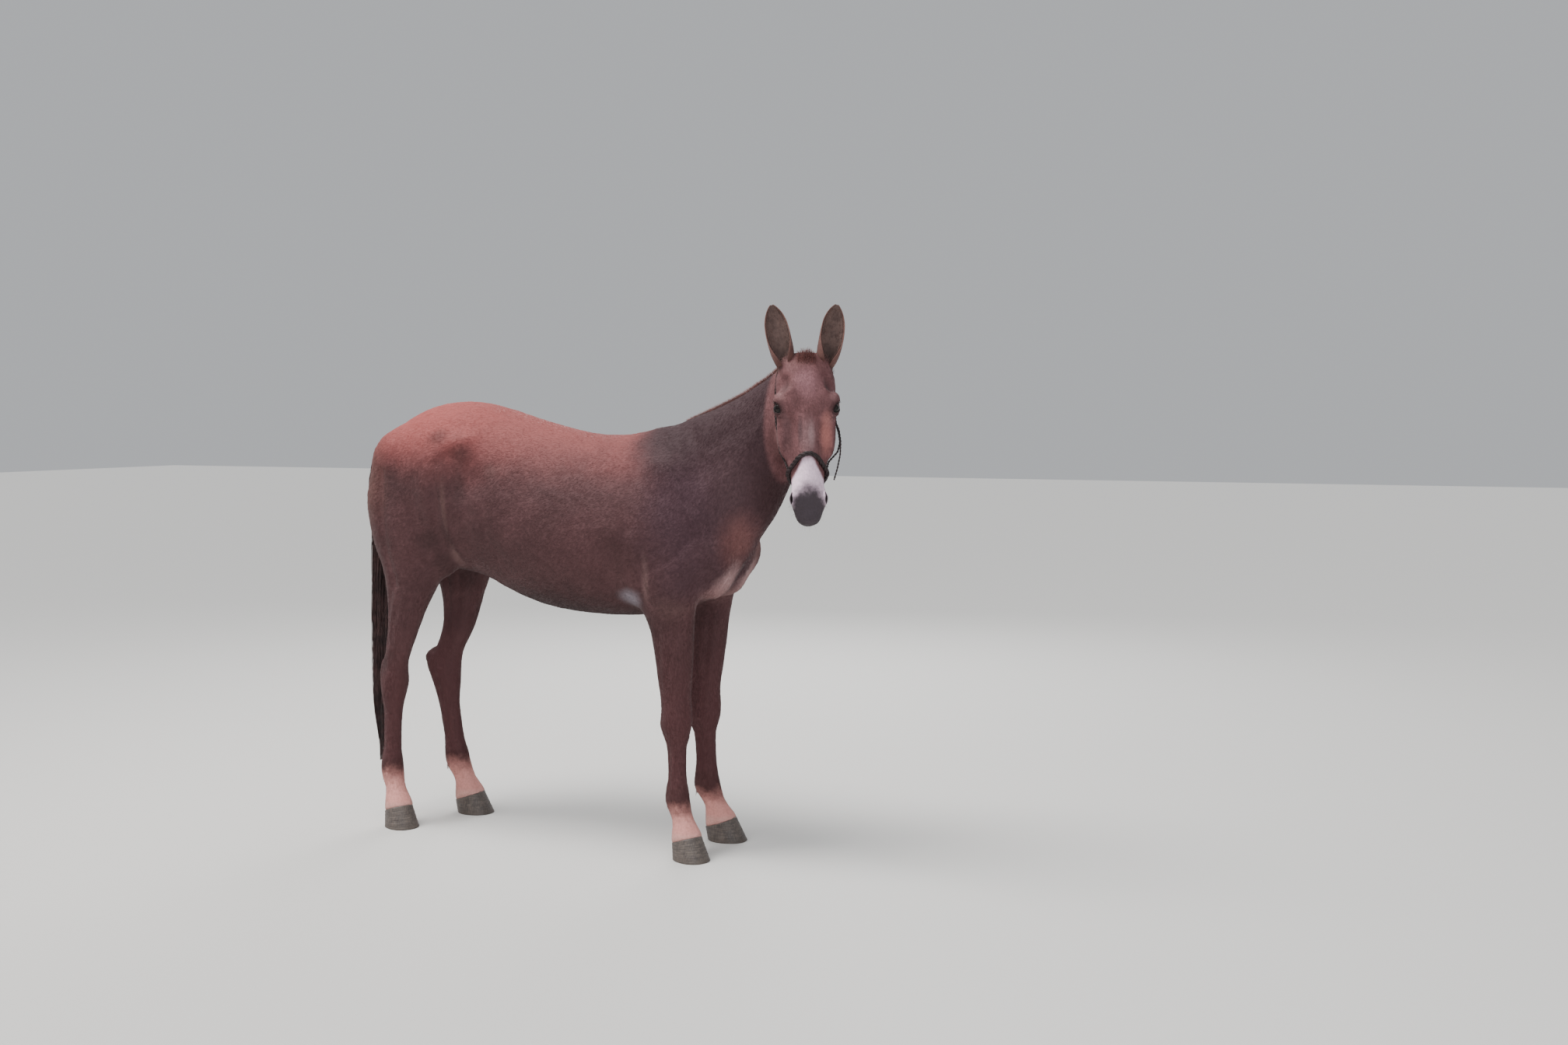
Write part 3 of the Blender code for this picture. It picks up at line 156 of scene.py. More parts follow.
def shift_of_model():
    """How far the finished solids stand from the places written in this file."""
    low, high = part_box("eye_right")
    x, y, _ = (low + high) / 2 - head_frame() @ Vector(mirrored(EYE_CENTRE, -1))
    return Matrix.Translation((x, y, 0.0))


WHERE = shift_of_model()
HEAD = WHERE @ head_frame()
HEAD_TURN = tuple(HEAD.to_euler("XYZ"))


def eye_axes(side):
    """Across the eye, up to its upper lid, and where it looks, in the head's frame."""
    looks = Vector(mirrored(EYE_LOOKS, side)).normalized()
    upward = squared(Vector(EYE_UPWARD), looks)
    return upward.cross(looks), upward, looks


def eye_frame(side):
    """The eye's own frame: X to its inner corner, Y to the upper lid, Z where it looks."""
    across, upward, looks = eye_axes(side)
    axes = Matrix((across * side, upward, looks)).transposed().to_4x4()
    return HEAD @ Matrix.Translation(mirrored(EYE_CENTRE, side)) @ axes


def nostril_frame(side):
    """The nostril's own frame: X down the face along it, Z out of it."""
    out = Vector(mirrored(NOSTRIL_OPENS, side)).normalized()
    along = squared(Vector((math.cos(NOSTRIL_SLOPE), 0.0, -math.sin(NOSTRIL_SLOPE))), out)
    axes = Matrix((along, out.cross(along) * side, out)).transposed().to_4x4()
    return HEAD @ Matrix.Translation(mirrored(NOSTRIL_CENTRE, side)) @ axes


def ear_axes(side):
    """Up the ear to its tip, the way that its cup opens, and across it, in the head's frame."""
    up = Vector(mirrored(EAR_POINTS, side)).normalized()
    opens = squared(Vector(mirrored(EAR_OPENS, side)), up)
    return up, opens, up.cross(opens)


# Small tools


def deselect():
    """Nothing is selected or being edited."""
    if bpy.context.object and bpy.context.object.mode != "OBJECT":
        bpy.ops.object.mode_set(mode="OBJECT")
    for thing in list(bpy.context.selected_objects):
        thing.select_set(False)


def pick(*things):
    """Selects these objects alone; the first is the active one."""
    deselect()
    for thing in things:
        thing.select_set(True)
    bpy.context.view_layer.objects.active = things[0]


def add_object(name, mesh):
    """An object for the mesh, linked to the scene."""
    thing = bpy.data.objects.new(name, mesh)
    bpy.context.scene.collection.objects.link(thing)
    return thing


def joined(name, things):
    """Several objects made into one, under a name."""
    pick(*things)
    bpy.ops.object.join()
    whole = bpy.context.object
    whole.name = whole.data.name = name
    return whole


def placed(thing, place):
    """Takes an object's mesh into a frame, with its faces outwards in a mirrored one too."""
    thing.data.transform(place)
    if place.determinant() < 0:
        thing.data.flip_normals()


def from_arrays(name, points, faces):
    """An object from rows of points and rows of equally sized faces."""
    mesh = bpy.data.meshes.new(name)
    mesh.vertices.add(len(points))
    mesh.vertices.foreach_set("co", np.asarray(points, np.float32).ravel())
    mesh.loops.add(faces.size)
    mesh.loops.foreach_set("vertex_index", np.asarray(faces, np.int32).ravel())
    mesh.polygons.add(len(faces))
    mesh.polygons.foreach_set("loop_start", np.arange(0, faces.size, faces.shape[1], dtype=np.int32))
    mesh.update(calc_edges=True)
    mesh.validate()
    return add_object(name, mesh)


def from_shape(name, shape):
    """An object from a closed shape, whose faces are turned outwards."""
    shape.normal_update()
    bmesh.ops.recalc_face_normals(shape, faces=shape.faces)
    mesh = bpy.data.meshes.new(name)
    shape.to_mesh(mesh)
    shape.free()
    return add_object(name, mesh)


def bridge(shape, before, after, closed=True, flip=False):
    """Faces between two lines of points, and round to their start where they are closed."""
    for k in range(len(before) if closed else len(before) - 1):
        step = (k + 1) % len(before)
        corners = (before[k], before[step], after[step], after[k])
        shape.faces.new(corners[::-1] if flip else corners)


def read(members, name, width, kind=np.float32):
    """What each of a mesh's members holds under a name, as rows."""
    rows = np.empty(width * len(members), kind)
    members.foreach_get(name, rows)
    return rows.reshape(-1, width)


def points_of(mesh):
    """The mesh's points as rows."""
    return read(mesh.vertices, "co", 3).astype(float)


def normals_of(mesh):
    """The normals of the mesh's points as rows."""
    return read(mesh.vertex_normals, "vector", 3).astype(float)


def corners_of(mesh):
    """The three corners of each of the mesh's triangles, as rows."""
    mesh.calc_loop_triangles()
    return read(mesh.loop_triangles, "vertices", 3, np.int32)


def put_points(mesh, rows):
    """Moves the mesh's points to these rows."""
    mesh.vertices.foreach_set("co", rows.astype(np.float32).ravel())
    mesh.update()


def tree_of(thing):
    """A search tree of the object's faces."""
    return BVHTree.FromPolygons(points_of(thing.data).tolist(), corners_of(thing.data).tolist())


def carried(matrix, rows):
    """Rows of points taken through a matrix."""
    numbers = np.array(matrix)
    return rows @ numbers[:3, :3].T + numbers[:3, 3]


def turned(matrix, rows):
    """Rows of directions taken through a matrix, without its shift."""
    return rows @ np.array(matrix)[:3, :3].T


def eased(share):
    """Shares between 0 and 1, eased in and out."""
    share = np.clip(share, 0.0, 1.0)
    return share * share * (3 - 2 * share)


def hump(value, middle, width):
    """A smooth hump: 1 at its middle and near 0 two widths away."""
    return np.exp(-(((value - middle) / width) ** 2))


def unit(rows):
    """Rows scaled to length one."""
    return rows / np.maximum(np.linalg.norm(rows, axis=-1, keepdims=True), 1e-9)


def along_rows(spots, rows):
    """The rows' columns read at spots that may lie between two rows."""
    return [np.interp(spots, np.arange(len(rows)), column) for column in rows.T]


def through(points, count):
    """Rows of numbers spread evenly along a smooth curve through the given rows."""
    rows = np.array(points, float)
    span = np.linalg.norm(np.diff(rows[:, :3], axis=0), axis=1)
    knots = np.concatenate([[0.0], np.cumsum(span)])
    slopes = np.gradient(rows, knots, axis=0)
    found = []
    for distance in np.linspace(0.0, knots[-1], count):
        k = min(np.searchsorted(knots, distance, side="right") - 1, len(rows) - 2)
        width = knots[k + 1] - knots[k]
        t = (distance - knots[k]) / width
        found.append(
            (2 * t**3 - 3 * t**2 + 1) * rows[k]
            + (t**3 - 2 * t**2 + t) * width * slopes[k]
            + (3 * t**2 - 2 * t**3) * rows[k + 1]
            + (t**3 - t**2) * width * slopes[k + 1]
        )
    return np.array(found)


def modifier(thing, kind, **settings):
    """Adds a modifier with its settings and applies it."""
    pick(thing)
    added = thing.modifiers.new(kind.lower(), kind)
    for name, value in settings.items():
        setattr(added, name, value)
    bpy.ops.object.modifier_apply(modifier=added.name)


def weigh(thing, name, weights, levels=24):
    """A vertex group that holds a weight between 0 and 1 for every point."""
    group = thing.vertex_groups.new(name=name)
    steps = np.rint(np.clip(weights, 0, 1) * levels).astype(int)
    for step in np.unique(steps):
        group.add(np.nonzero(steps == step)[0].tolist(), step / levels, "REPLACE")
    return group


def smooth(thing):
    """Shades the object smooth."""
    pick(thing)
    bpy.ops.object.shade_smooth()


def finished(thing, paint, slot, *nodes):
    """Gives a piece its material and its place among the solids."""
    thing.data.materials.clear()
    thing.data.materials.append(paint)
    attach(thing, "root")
    if nodes:
        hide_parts(*nodes)


def strands(name, lines, widths, sides=3, flat=0.6):
    """Tapered strands: lines holds rows of points for each strand, widths the radius at each point."""
    count, steps = lines.shape[:2]
    run = unit(np.gradient(lines, axis=1))
    spare = np.where(np.abs(run[..., 2:3]) > 0.9, (1.0, 0.0, 0.0), (0.0, 0.0, 1.0))
    across = unit(np.cross(run, spare))
    over = np.cross(run, across)
    rings = []
    for k in range(sides):
        angle = 2 * math.pi * k / sides
        ring = lines + across * (math.cos(angle) * widths)[..., None]
        rings.append(ring + over * (math.sin(angle) * widths * flat)[..., None])
    points = np.stack(rings, axis=2).reshape(-1, 3)
    root = (np.arange(count) * steps * sides)[:, None]
    tip = root + (steps - 1) * sides
    low = root[..., None] + (np.arange(steps - 1) * sides)[None, :, None]
    high = low + sides
    side = np.arange(sides)[None, None, :]
    after = (side + 1) % sides
    quads = np.stack([low + side, low + after, high + after, high + side], axis=-1).reshape(-1, 4)
    faces = [quads[:, [0, 1, 2]], quads[:, [0, 2, 3]]]
    for k in range(1, sides - 1):
        faces.append(root + np.array([[0, k + 1, k]]))
        faces.append(tip + np.array([[0, k, k + 1]]))
    return from_arrays(name, points, np.concatenate(faces))


# Materials: sums on sockets, and one method that adds a node


class Socket:
    """A node's output, on which sums can be written."""

    def __init__(self, paint, link):
        self.paint = paint
        self.link = link

    def _sum(self, operation, *values):
        return self.paint.node("ShaderNodeMath", {"operation": operation}, *values)

    def __add__(self, other):
        return self._sum("ADD", self, other)

    def __radd__(self, other):
        return self._sum("ADD", other, self)

    def __sub__(self, other):
        return self._sum("SUBTRACT", self, other)

    def __rsub__(self, other):
        return self._sum("SUBTRACT", other, self)

    def __mul__(self, other):
        return self._sum("MULTIPLY", self, other)

    def __rmul__(self, other):
        return self._sum("MULTIPLY", other, self)

    def __abs__(self):
        return self._sum("ABSOLUTE", self)


class Paint:
    """Builds one material's nodes."""

    def __init__(self, name):
        self.material = bpy.data.materials.new(name)
        self.material.use_nodes = True
        self.tree = self.material.node_tree
        self.tree.nodes.clear()
        self.places = self.node("ShaderNodeTexCoord", out="Object")

    def node(self, kind, settings=None, *values, out=0, **named):
        """Adds a node: its settings first, then its sockets by place or by name."""
        made = self.tree.nodes.new(kind)
        for name, value in (settings or {}).items():
            setattr(made, name, value)
        for key, value in [*enumerate(values), *named.items()]:
            socket = made.inputs[key if isinstance(key, int) else key.replace("_", " ")]
            if isinstance(value, Socket):
                self.tree.links.new(value.link, socket)
            elif value is not None:
                socket.default_value = value
        return Socket(self, made.outputs[out]) if made.outputs else None

    def mix(self, factor, first, second):
        """Mixes two colours, which are a Mix node's seventh and eighth sockets."""
        colours = [part if isinstance(part, Socket) else (*part, 1.0) for part in (first, second)]
        left_alone = [None] * 5
        return self.node("ShaderNodeMix", {"data_type": "RGBA"}, factor, *left_alone, *colours, out=2)

    def marked(self, name):
        """A number that the mesh's points carry under a name."""
        return self.node("ShaderNodeAttribute", {"attribute_name": name}, out="Fac")

    def mapped(self, centre=(0, 0, 0), turn=(0, 0, 0), size=(1, 1, 1), places=None):
        """Places seen from a centre, turned, and measured in a size of their own."""
        return self.node(
            "ShaderNodeMapping",
            {"vector_type": "TEXTURE"},
            Vector=places or self.places,
            Location=centre,
            Rotation=turn,
            Scale=size,
        )

    def far(self, centre, size, turn=(0, 0, 0), places=None):
        """How far places are from a centre, where 1 is the edge of an ellipsoid of this half size."""
        seen = self.mapped(centre, turn, size, places)
        return self.node("ShaderNodeVectorMath", {"operation": "LENGTH"}, seen, out="Value")

    def parts(self, vector):
        """The three numbers of a vector."""
        first = self.node("ShaderNodeSeparateXYZ", None, vector)
        return tuple(Socket(self, output) for output in first.link.node.outputs)

    def folded(self, x, y, z):
        """A vector whose two sides are laid over each other."""
        return self.node("ShaderNodeCombineXYZ", None, x, abs(y), z)

    def ramp(self, value, low, high, floor=0.0, top=1.0):
        """A value eased from one range to another."""
        return self.node(
            "ShaderNodeMapRange", {"interpolation_type": "SMOOTHSTEP"}, value, low, high, floor, top
        )

    def noise(self, size, detail=3.0, rough=0.55, stretch=(1, 1, 1), turn=(0, 0, 0), places=None):
        """Smooth noise whose patches are about this size, stretched along the axes."""
        seen = self.mapped((0, 0, 0), turn, tuple(size * part for part in stretch), places)
        sockets = {"Vector": seen, "Scale": 1.0, "Detail": detail, "Roughness": rough}
        return self.node("ShaderNodeTexNoise", {"noise_dimensions": "3D"}, **sockets)

    def bump(self, height, strength, distance, under=None):
        """A bump from a height, over another if one is given."""
        sockets = {"Strength": strength, "Distance": distance, "Height": height, "Normal": under}
        return self.node("ShaderNodeBump", None, **sockets)

    def close(self, colour, roughness, normal=None, **constants):
        """Ends the material in one shader."""
        sockets = {"Base_Color": colour, "Roughness": roughness, "Normal": normal, **constants}
        self.node("ShaderNodeOutputMaterial", None, self.node("ShaderNodeBsdfPrincipled", None, **sockets))
        return self.material


# Patches of colour on the body, for the left side and mirrored: centre, reach, colour, strength. Several are
# painted highlights or painted shade that follow the body's shape and the light on it.
BODY_PATCHES = {
    # Painted highlight on the top of the hindquarters, where light falls from above.
    "croup_painted_highlight": ((-0.560, 0.100, 1.490), (0.320, 0.200, 0.200), (0.360, 0.082, 0.074), 0.800),
    "buttock": ((-0.740, 0.140, 1.220), (0.120, 0.160, 0.220), (0.150, 0.062, 0.052), 0.550),
    "shoulder": ((0.460, 0.180, 1.200), (0.155, 0.300, 0.300), (0.066, 0.032, 0.042), 0.800),
    "withers": ((0.400, 0.040, 1.400), (0.170, 0.220, 0.170), (0.050, 0.024, 0.028), 0.920),
    "sheen_of_neck": ((0.640, 0.130, 1.260), (0.090, 0.120, 0.170), (0.088, 0.050, 0.056), 0.450),
    # Painted shade under the neck.
    "neck_under_painted_shade": ((0.755, 0.040, 1.200), (0.080, 0.120, 0.200), (0.036, 0.015, 0.017), 0.750),
    "breast": ((0.665, 0.100, 1.050), (0.080, 0.100, 0.110), (0.230, 0.095, 0.086), 0.600),
    "pectoral": ((0.605, 0.078, 0.922), (0.080, 0.056, 0.078), (0.470, 0.285, 0.280), 0.680),
    "pectoral_low": ((0.560, 0.060, 0.865), (0.090, 0.100, 0.070), (0.300, 0.165, 0.160), 0.600),
    "girth_patch": ((0.300, 0.195, 0.862), (0.050, 0.090, 0.038), (0.320, 0.280, 0.325), 0.750),
    # Painted highlight along the elbow's edge.
    "elbow_edge_painted_highlight": ((0.368, 0.225, 0.925), (0.016, 0.070, 0.095), (0.190, 0.110, 0.105), 0.500),
    "forearm_top": ((0.455, 0.190, 0.835), (0.075, 0.070, 0.045), (0.120, 0.064, 0.060), 0.400),
    # Painted shade under the barrel, where light from above does not reach.
    "belly_painted_shade": ((-0.020, 0.060, 0.800), (0.460, 0.260, 0.170), (0.022, 0.010, 0.011), 0.850),
    "hip_mottle": ((-0.434, 0.205, 1.392), (0.048, 0.060, 0.034), (0.045, 0.022, 0.022), 0.500),
    "hip_mottle_low": ((-0.325, 0.225, 1.335), (0.055, 0.060, 0.040), (0.045, 0.022, 0.022), 0.500),
    # Painted shade in the flank's hollow.
    "flank_hollow": ((-0.340, 0.235, 1.225), (0.040, 0.100, 0.100), (0.046, 0.023, 0.024), 0.600),
    # Painted highlight along the flank's ridge.
    "flank_ridge": ((-0.393, 0.235, 1.160), (0.013, 0.100, 0.105), (0.160, 0.088, 0.080), 0.500),
    "pale_spot": ((-0.218, 0.215, 1.280), (0.040, 0.080, 0.036), (0.125, 0.068, 0.064), 0.350),
    "stifle_mottle": ((-0.478, 0.215, 1.035), (0.052, 0.090, 0.045), (0.045, 0.022, 0.022), 0.500),
    "stifle_mottle_low": ((-0.425, 0.185, 0.955), (0.045, 0.080, 0.045), (0.042, 0.020, 0.020), 0.500),
    # Painted highlight in front of the stifle, at the lower end of the flank's ridge.
    "stifle_rim_painted_highlight": ((-0.385, 0.150, 0.985), (0.018, 0.090, 0.050), (0.180, 0.105, 0.098), 0.450),
    "buttock_mottle": ((-0.635, 0.235, 1.020), (0.045, 0.080, 0.040), (0.048, 0.023, 0.023), 0.450),
    # Painted shade inside the thighs, between the hind legs.
    "thigh_inner_painted_shade": ((-0.480, 0.060, 0.880), (0.110, 0.075, 0.130), (0.036, 0.018, 0.019), 0.750),
    "hock_shade": ((-0.720, 0.145, 0.585), (0.060, 0.070, 0.060), (0.034, 0.015, 0.016), 0.550),
}
# The same on the head, in its own frame; round the eyes, in the temples and on the jaw they are painted shade
HEAD_PATCHES = {
    "poll": ((0.030, 0.000, -0.030), (0.060, 0.080, 0.070), (0.125, 0.050, 0.046), 0.800),
    "forehead": ((0.122, 0.000, 0.004), (0.062, 0.048, 0.045), (0.310, 0.150, 0.165), 0.750),
    # Painted shade in the temple's hollow above the eye.
    "temple": ((0.128, 0.070, -0.016), (0.034, 0.021, 0.028), (0.060, 0.026, 0.028), 0.750),
    "brow": ((0.166, 0.080, -0.012), (0.018, 0.026, 0.018), (0.300, 0.160, 0.160), 0.650),
    # Painted shade round the eye, in its socket.
    "eye_socket_painted_shade": ((0.199, 0.090, -0.028), (0.036, 0.030, 0.035), (0.018, 0.009, 0.010), 0.900),
    "under_eye": ((0.246, 0.074, -0.026), (0.032, 0.026, 0.030), (0.230, 0.130, 0.140), 0.550),
    "nose_bone": ((0.300, 0.000, 0.000), (0.080, 0.034, 0.040), (0.250, 0.150, 0.155), 0.600),
    # Painted shade on the back of the lower cheek, towards the throat.
    "jaw": ((0.230, 0.070, -0.190), (0.120, 0.060, 0.060), (0.090, 0.042, 0.038), 0.600),
}
# And on one side of the head only: painted light on the left of the nose and on the left cheek, painted shade
# on the right of the nose and on the right cheek
FACE_LIGHT_AND_SHADE = {
    "nose_right_painted_shade": ((0.276, -0.0235, 0.004), (0.056, 0.0100, 0.040), (0.085, 0.048, 0.053), 0.800),
    "nose_left_painted_light": ((0.290, 0.0125, 0.004), (0.052, 0.0125, 0.040), (0.340, 0.215, 0.220), 0.750),
    "left_cheek_painted_light": ((0.290, 0.062, -0.030), (0.085, 0.026, 0.060), (0.480, 0.185, 0.160), 0.780),
    "right_cheek_painted_shade": ((0.292, -0.066, -0.036), (0.070, 0.026, 0.050), (0.070, 0.033, 0.036), 0.700),
}


def patched(paint, colour, places, patches, ragged):
    """Lays each patch over the colour, with its edge broken by noise."""
    for centre, reach, tone, strength in patches.values():
        far = paint.far(centre, reach, places=places)
        colour = paint.mix(paint.ramp(far + ragged, 1.25, 0.15) * strength, colour, tone)
    return colour


def body_colour(paint, base, places, broad, fine, ragged):
    """The sorrel of the body, darker in front, with its pale and dark patches and pale pasterns, painted
    light along the top of the back, and painted shade among the patches.
    """
    x, y, z = places
    dark, light = (tuple(share * part for part in base) for share in (0.86, 1.16))
    colour = paint.mix(paint.ramp(broad, 0.32, 0.68), dark, light)
    # Painted light: behind the withers, the top of the back is painted lighter and redder, as if lit from
    # above.
    back = paint.ramp(z + (broad - 0.5) * 0.14, 1.20, 1.47) * paint.ramp(x, 0.44, 0.24)
    colour = paint.mix(back * 0.85, colour, (0.310, 0.084, 0.078))
    front = paint.ramp(x, 0.36, 0.50) * paint.ramp(z, 0.82, 0.92)
    colour = paint.mix(front * 0.85, colour, (0.060, 0.028, 0.034))
    legs = paint.ramp(z, 0.80, 0.42)
    colour = paint.mix(legs * 0.9, colour, (0.088, 0.034, 0.036))
    colour = patched(paint, colour, paint.folded(x, y, z), BODY_PATCHES, ragged)
    crest = paint.ramp(x, 0.22, 0.36) * paint.ramp(z + (broad - 0.5) * 0.1, 1.22, 1.42)
    colour = paint.mix(crest * 0.85, colour, (0.040, 0.019, 0.023))
    fetlock = paint.ramp(z + (fine - 0.5) * 0.03, 0.260, 0.215)
    colour = paint.mix(fetlock * 0.45, colour, (0.056, 0.022, 0.021))
    hind_is_lower = paint.ramp(x, 0.1, -0.1) * 0.028
    pastern = paint.ramp(z - hind_is_lower + (fine - 0.5) * 0.07, 0.196, 0.112)
    colour = paint.mix(pastern * 0.9, colour, (0.720, 0.330, 0.290))
    coronet = paint.ramp(z, 0.098, 0.076)
    return paint.mix(coronet * 0.45, colour, (0.660, 0.420, 0.370))


def face_colour(paint, on_face, fine, ragged):
    """The face: brown, with a blaze that widens to a pale muzzle round a dark nose, with painted light on its
    left side and painted shade on its right.
    """
    down, side, out = paint.parts(on_face)
    wide = abs(side)
    half_face = paint.folded(down, side, out)
    colour = paint.mix(paint.ramp(fine, 0.3, 0.7), (0.190, 0.084, 0.088), (0.135, 0.058, 0.060))
    colour = patched(paint, colour, half_face, HEAD_PATCHES, ragged * 0.6)
    # Painted light on the face's left side and painted shade on its right.
    colour = patched(paint, colour, on_face, FACE_LIGHT_AND_SHADE, ragged * 0.7)
    muzzle = paint.ramp(down + (fine - 0.5) * 0.03, 0.415, 0.480)
    colour = paint.mix(muzzle * 0.9, colour, (0.800, 0.600, 0.600))
    width = (down - 0.37) * 0.55 + 0.019 + (fine - 0.5) * 0.012
    blaze = paint.ramp(wide - width, 0.006, -0.005) * paint.ramp(down + (fine - 0.5) * 0.02, 0.350, 0.376)
    colour = paint.mix(blaze * 0.95, colour, (0.940, 0.720, 0.860))
    nose = paint.far((0.548, 0.0, -0.035), (0.120, 0.072, 0.125), places=half_face)
    nose = paint.ramp(nose + (fine - 0.5) * 0.45, 1.12, 0.62)
    return paint.mix(nose * 0.96, colour, (0.017, 0.013, 0.016))


def hair_bumps(paint, height, on_face, head):
    """Fine hairs that lie along the body, down the legs and down the face, over shallow clumps."""
    along = paint.noise(0.0016, 3.0, 0.6, stretch=(9, 1.4, 2.2), turn=(0, math.radians(24), 0))
    down = paint.noise(0.0015, 3.0, 0.6, stretch=(1.4, 1.4, 9))
    face = paint.noise(0.0013, 3.0, 0.5, stretch=(0.0085 / 0.0013, 1, 1), places=on_face)
    legs = paint.ramp(height, 0.86, 0.70)
    hairs = along * (1 - legs) + down * legs
    hairs = hairs * (1 - head) + face * head
    clumps = paint.noise(0.018, 3.0, 0.6, stretch=(2.2, 1, 1))
    return paint.bump(hairs, 0.55, 0.0007, paint.bump(clumps, 0.22, 0.004))


def coat_paint(name, sizes, skin=True):
    """The coat's finish, the same colours for the skin and for the tufts on it."""
    paint = Paint(name)
    body = paint.parts(paint.mapped(tuple(WHERE.translation)))
    on_face = paint.mapped(tuple(HEAD.translation), HEAD_TURN)
    head = paint.ramp(paint.far((0.26, 0.0, -0.08), (0.36, 0.15, 0.20), places=on_face), 1.06, 0.92)
    broad = paint.noise(0.22, 4.0, 0.6)
    fine = paint.noise(0.035, 4.0, 0.7)
    ragged = (broad - 0.5) * 0.5 + (fine - 0.5) * 0.55
    colour = body_colour(paint, tuple(sizes.coat_colour), body, broad, fine, ragged)
    colour = paint.mix(head, colour, face_colour(paint, on_face, fine, ragged))
    speck = paint.ramp(paint.noise(0.007, 2.0, 0.6), 0.35, 0.75)
    colour = paint.mix(speck * 0.16, colour, (0.035, 0.020, 0.020))
    # Near black where the skin is marked dark: the lids' own dark margins, and painted shade at the nostrils'
    # rims and passages, in the wall behind the lids and along the mouth's line.
    colour = paint.mix(paint.marked("dark"), colour, (0.012, 0.008, 0.009))
    normal = hair_bumps(paint, body[2], on_face, head) if skin else None
    return paint.close(colour, 0.70, normal, Specular_IOR_Level=0.22, Sheen_Weight=0.04, Sheen_Roughness=0.45)


# The skin: what it is fused from, its muscles, lids, nostrils and mouth


# How far the head reaches from the poll, and the middle of the tail's dock
HEAD_REACH = 0.66
DOCK = (-0.85, 0.0, 1.292)
# How much of the smoothing the legs and the head take
FIRM_LEGS = 0.11
FIRM_HEAD = 0.07
# How far the flesh is swollen, the heights where trunk and leg drawings end, and the skin's unevenness
SWOLLEN = 0.0004
TRUNK_FLOOR = 0.80
LEG_TOP = 0.94
UNEVENNESS = 0.0009


def is_head(rows):
    """Which points lie on the head's side of the cuts behind and under the jaw."""
    here = carried(WHERE.inverted(), rows)
    near = np.linalg.norm(here - np.array(POLL), axis=1) < HEAD_REACH
    for place, normal in HEAD_CUTS:
        near &= (here - np.array(place)) @ np.array(normal) > 0
    return near


def softness(rows):
    """How strongly the skin is smoothed at each point: firm on the legs and head, soft on the trunk."""
    here = carried(WHERE.inverted(), rows)
    weight = FIRM_LEGS + (1 - FIRM_LEGS) * eased((here[:, 2] - 0.62) / 0.22)
    weight *= 1.0 - 0.6 * eased((here[:, 0] - 0.50) / 0.22) * eased((here[:, 2] - 1.0) / 0.2)
    weight *= eased(np.linalg.norm(here - DOCK, axis=1) / 0.16)
    weight = np.maximum(weight, FIRM_LEGS)
    weight[is_head(rows)] = FIRM_HEAD
    return weight


def leg_axis(stance, height):
    """Where a leg's axis stands at each height, and how far the leg is turned out there."""
    kind, _, joint_x, fetlock_x, turn = STANCE[stance]
    joint, start, full = LEG_HEIGHTS[kind]
    top_x = STANCE[f"{kind}_leg_right"][2]
    turned_out = turn * eased((start - height) / (start - full))
    above = joint_x + (top_x - joint_x) * eased((height - joint) / 0.55)
    share = np.clip((joint - height) / (joint - FETLOCK_HEIGHT), 0.0, 1.0)
    below = joint_x + (fetlock_x - joint_x) * share
    return np.where(height >= joint, above, below), turned_out


def leg_places(stance, rows):
    """Points seen from a leg's own axis: forward of it, out from the body's middle, and up."""
    here = carried(WHERE.inverted(), rows)
    x, turn = leg_axis(stance, here[:, 2])
    side = STANCE[stance][1]
    across = here[:, 1] - side * LEG_OUT
    forward = (here[:, 0] - x) * np.cos(turn) + across * np.sin(turn)
    out = side * (across * np.cos(turn) - (here[:, 0] - x) * np.sin(turn))
    return np.stack([forward, out, here[:, 2]], axis=1)


def far_from_line(rows, line):
    """How far each row is from a line of places."""
    line = np.array(line, float)
    far = np.full(len(rows), 1e9)
    for start, end in zip(line, line[1:]):
        run = end - start
        share = np.clip((rows - start) @ run / (run @ run), 0.0, 1.0)
        far = np.minimum(far, np.linalg.norm(rows - start - share[:, None] * run, axis=1))
    return far


def drawn(rows, normals, line, width, depth, mask=1.0):
    """Moves points in or out along their normals near a line, as a thumb would."""
    move = depth * hump(far_from_line(rows, line), 0.0, width) * mask
    return normals * move[:, None]


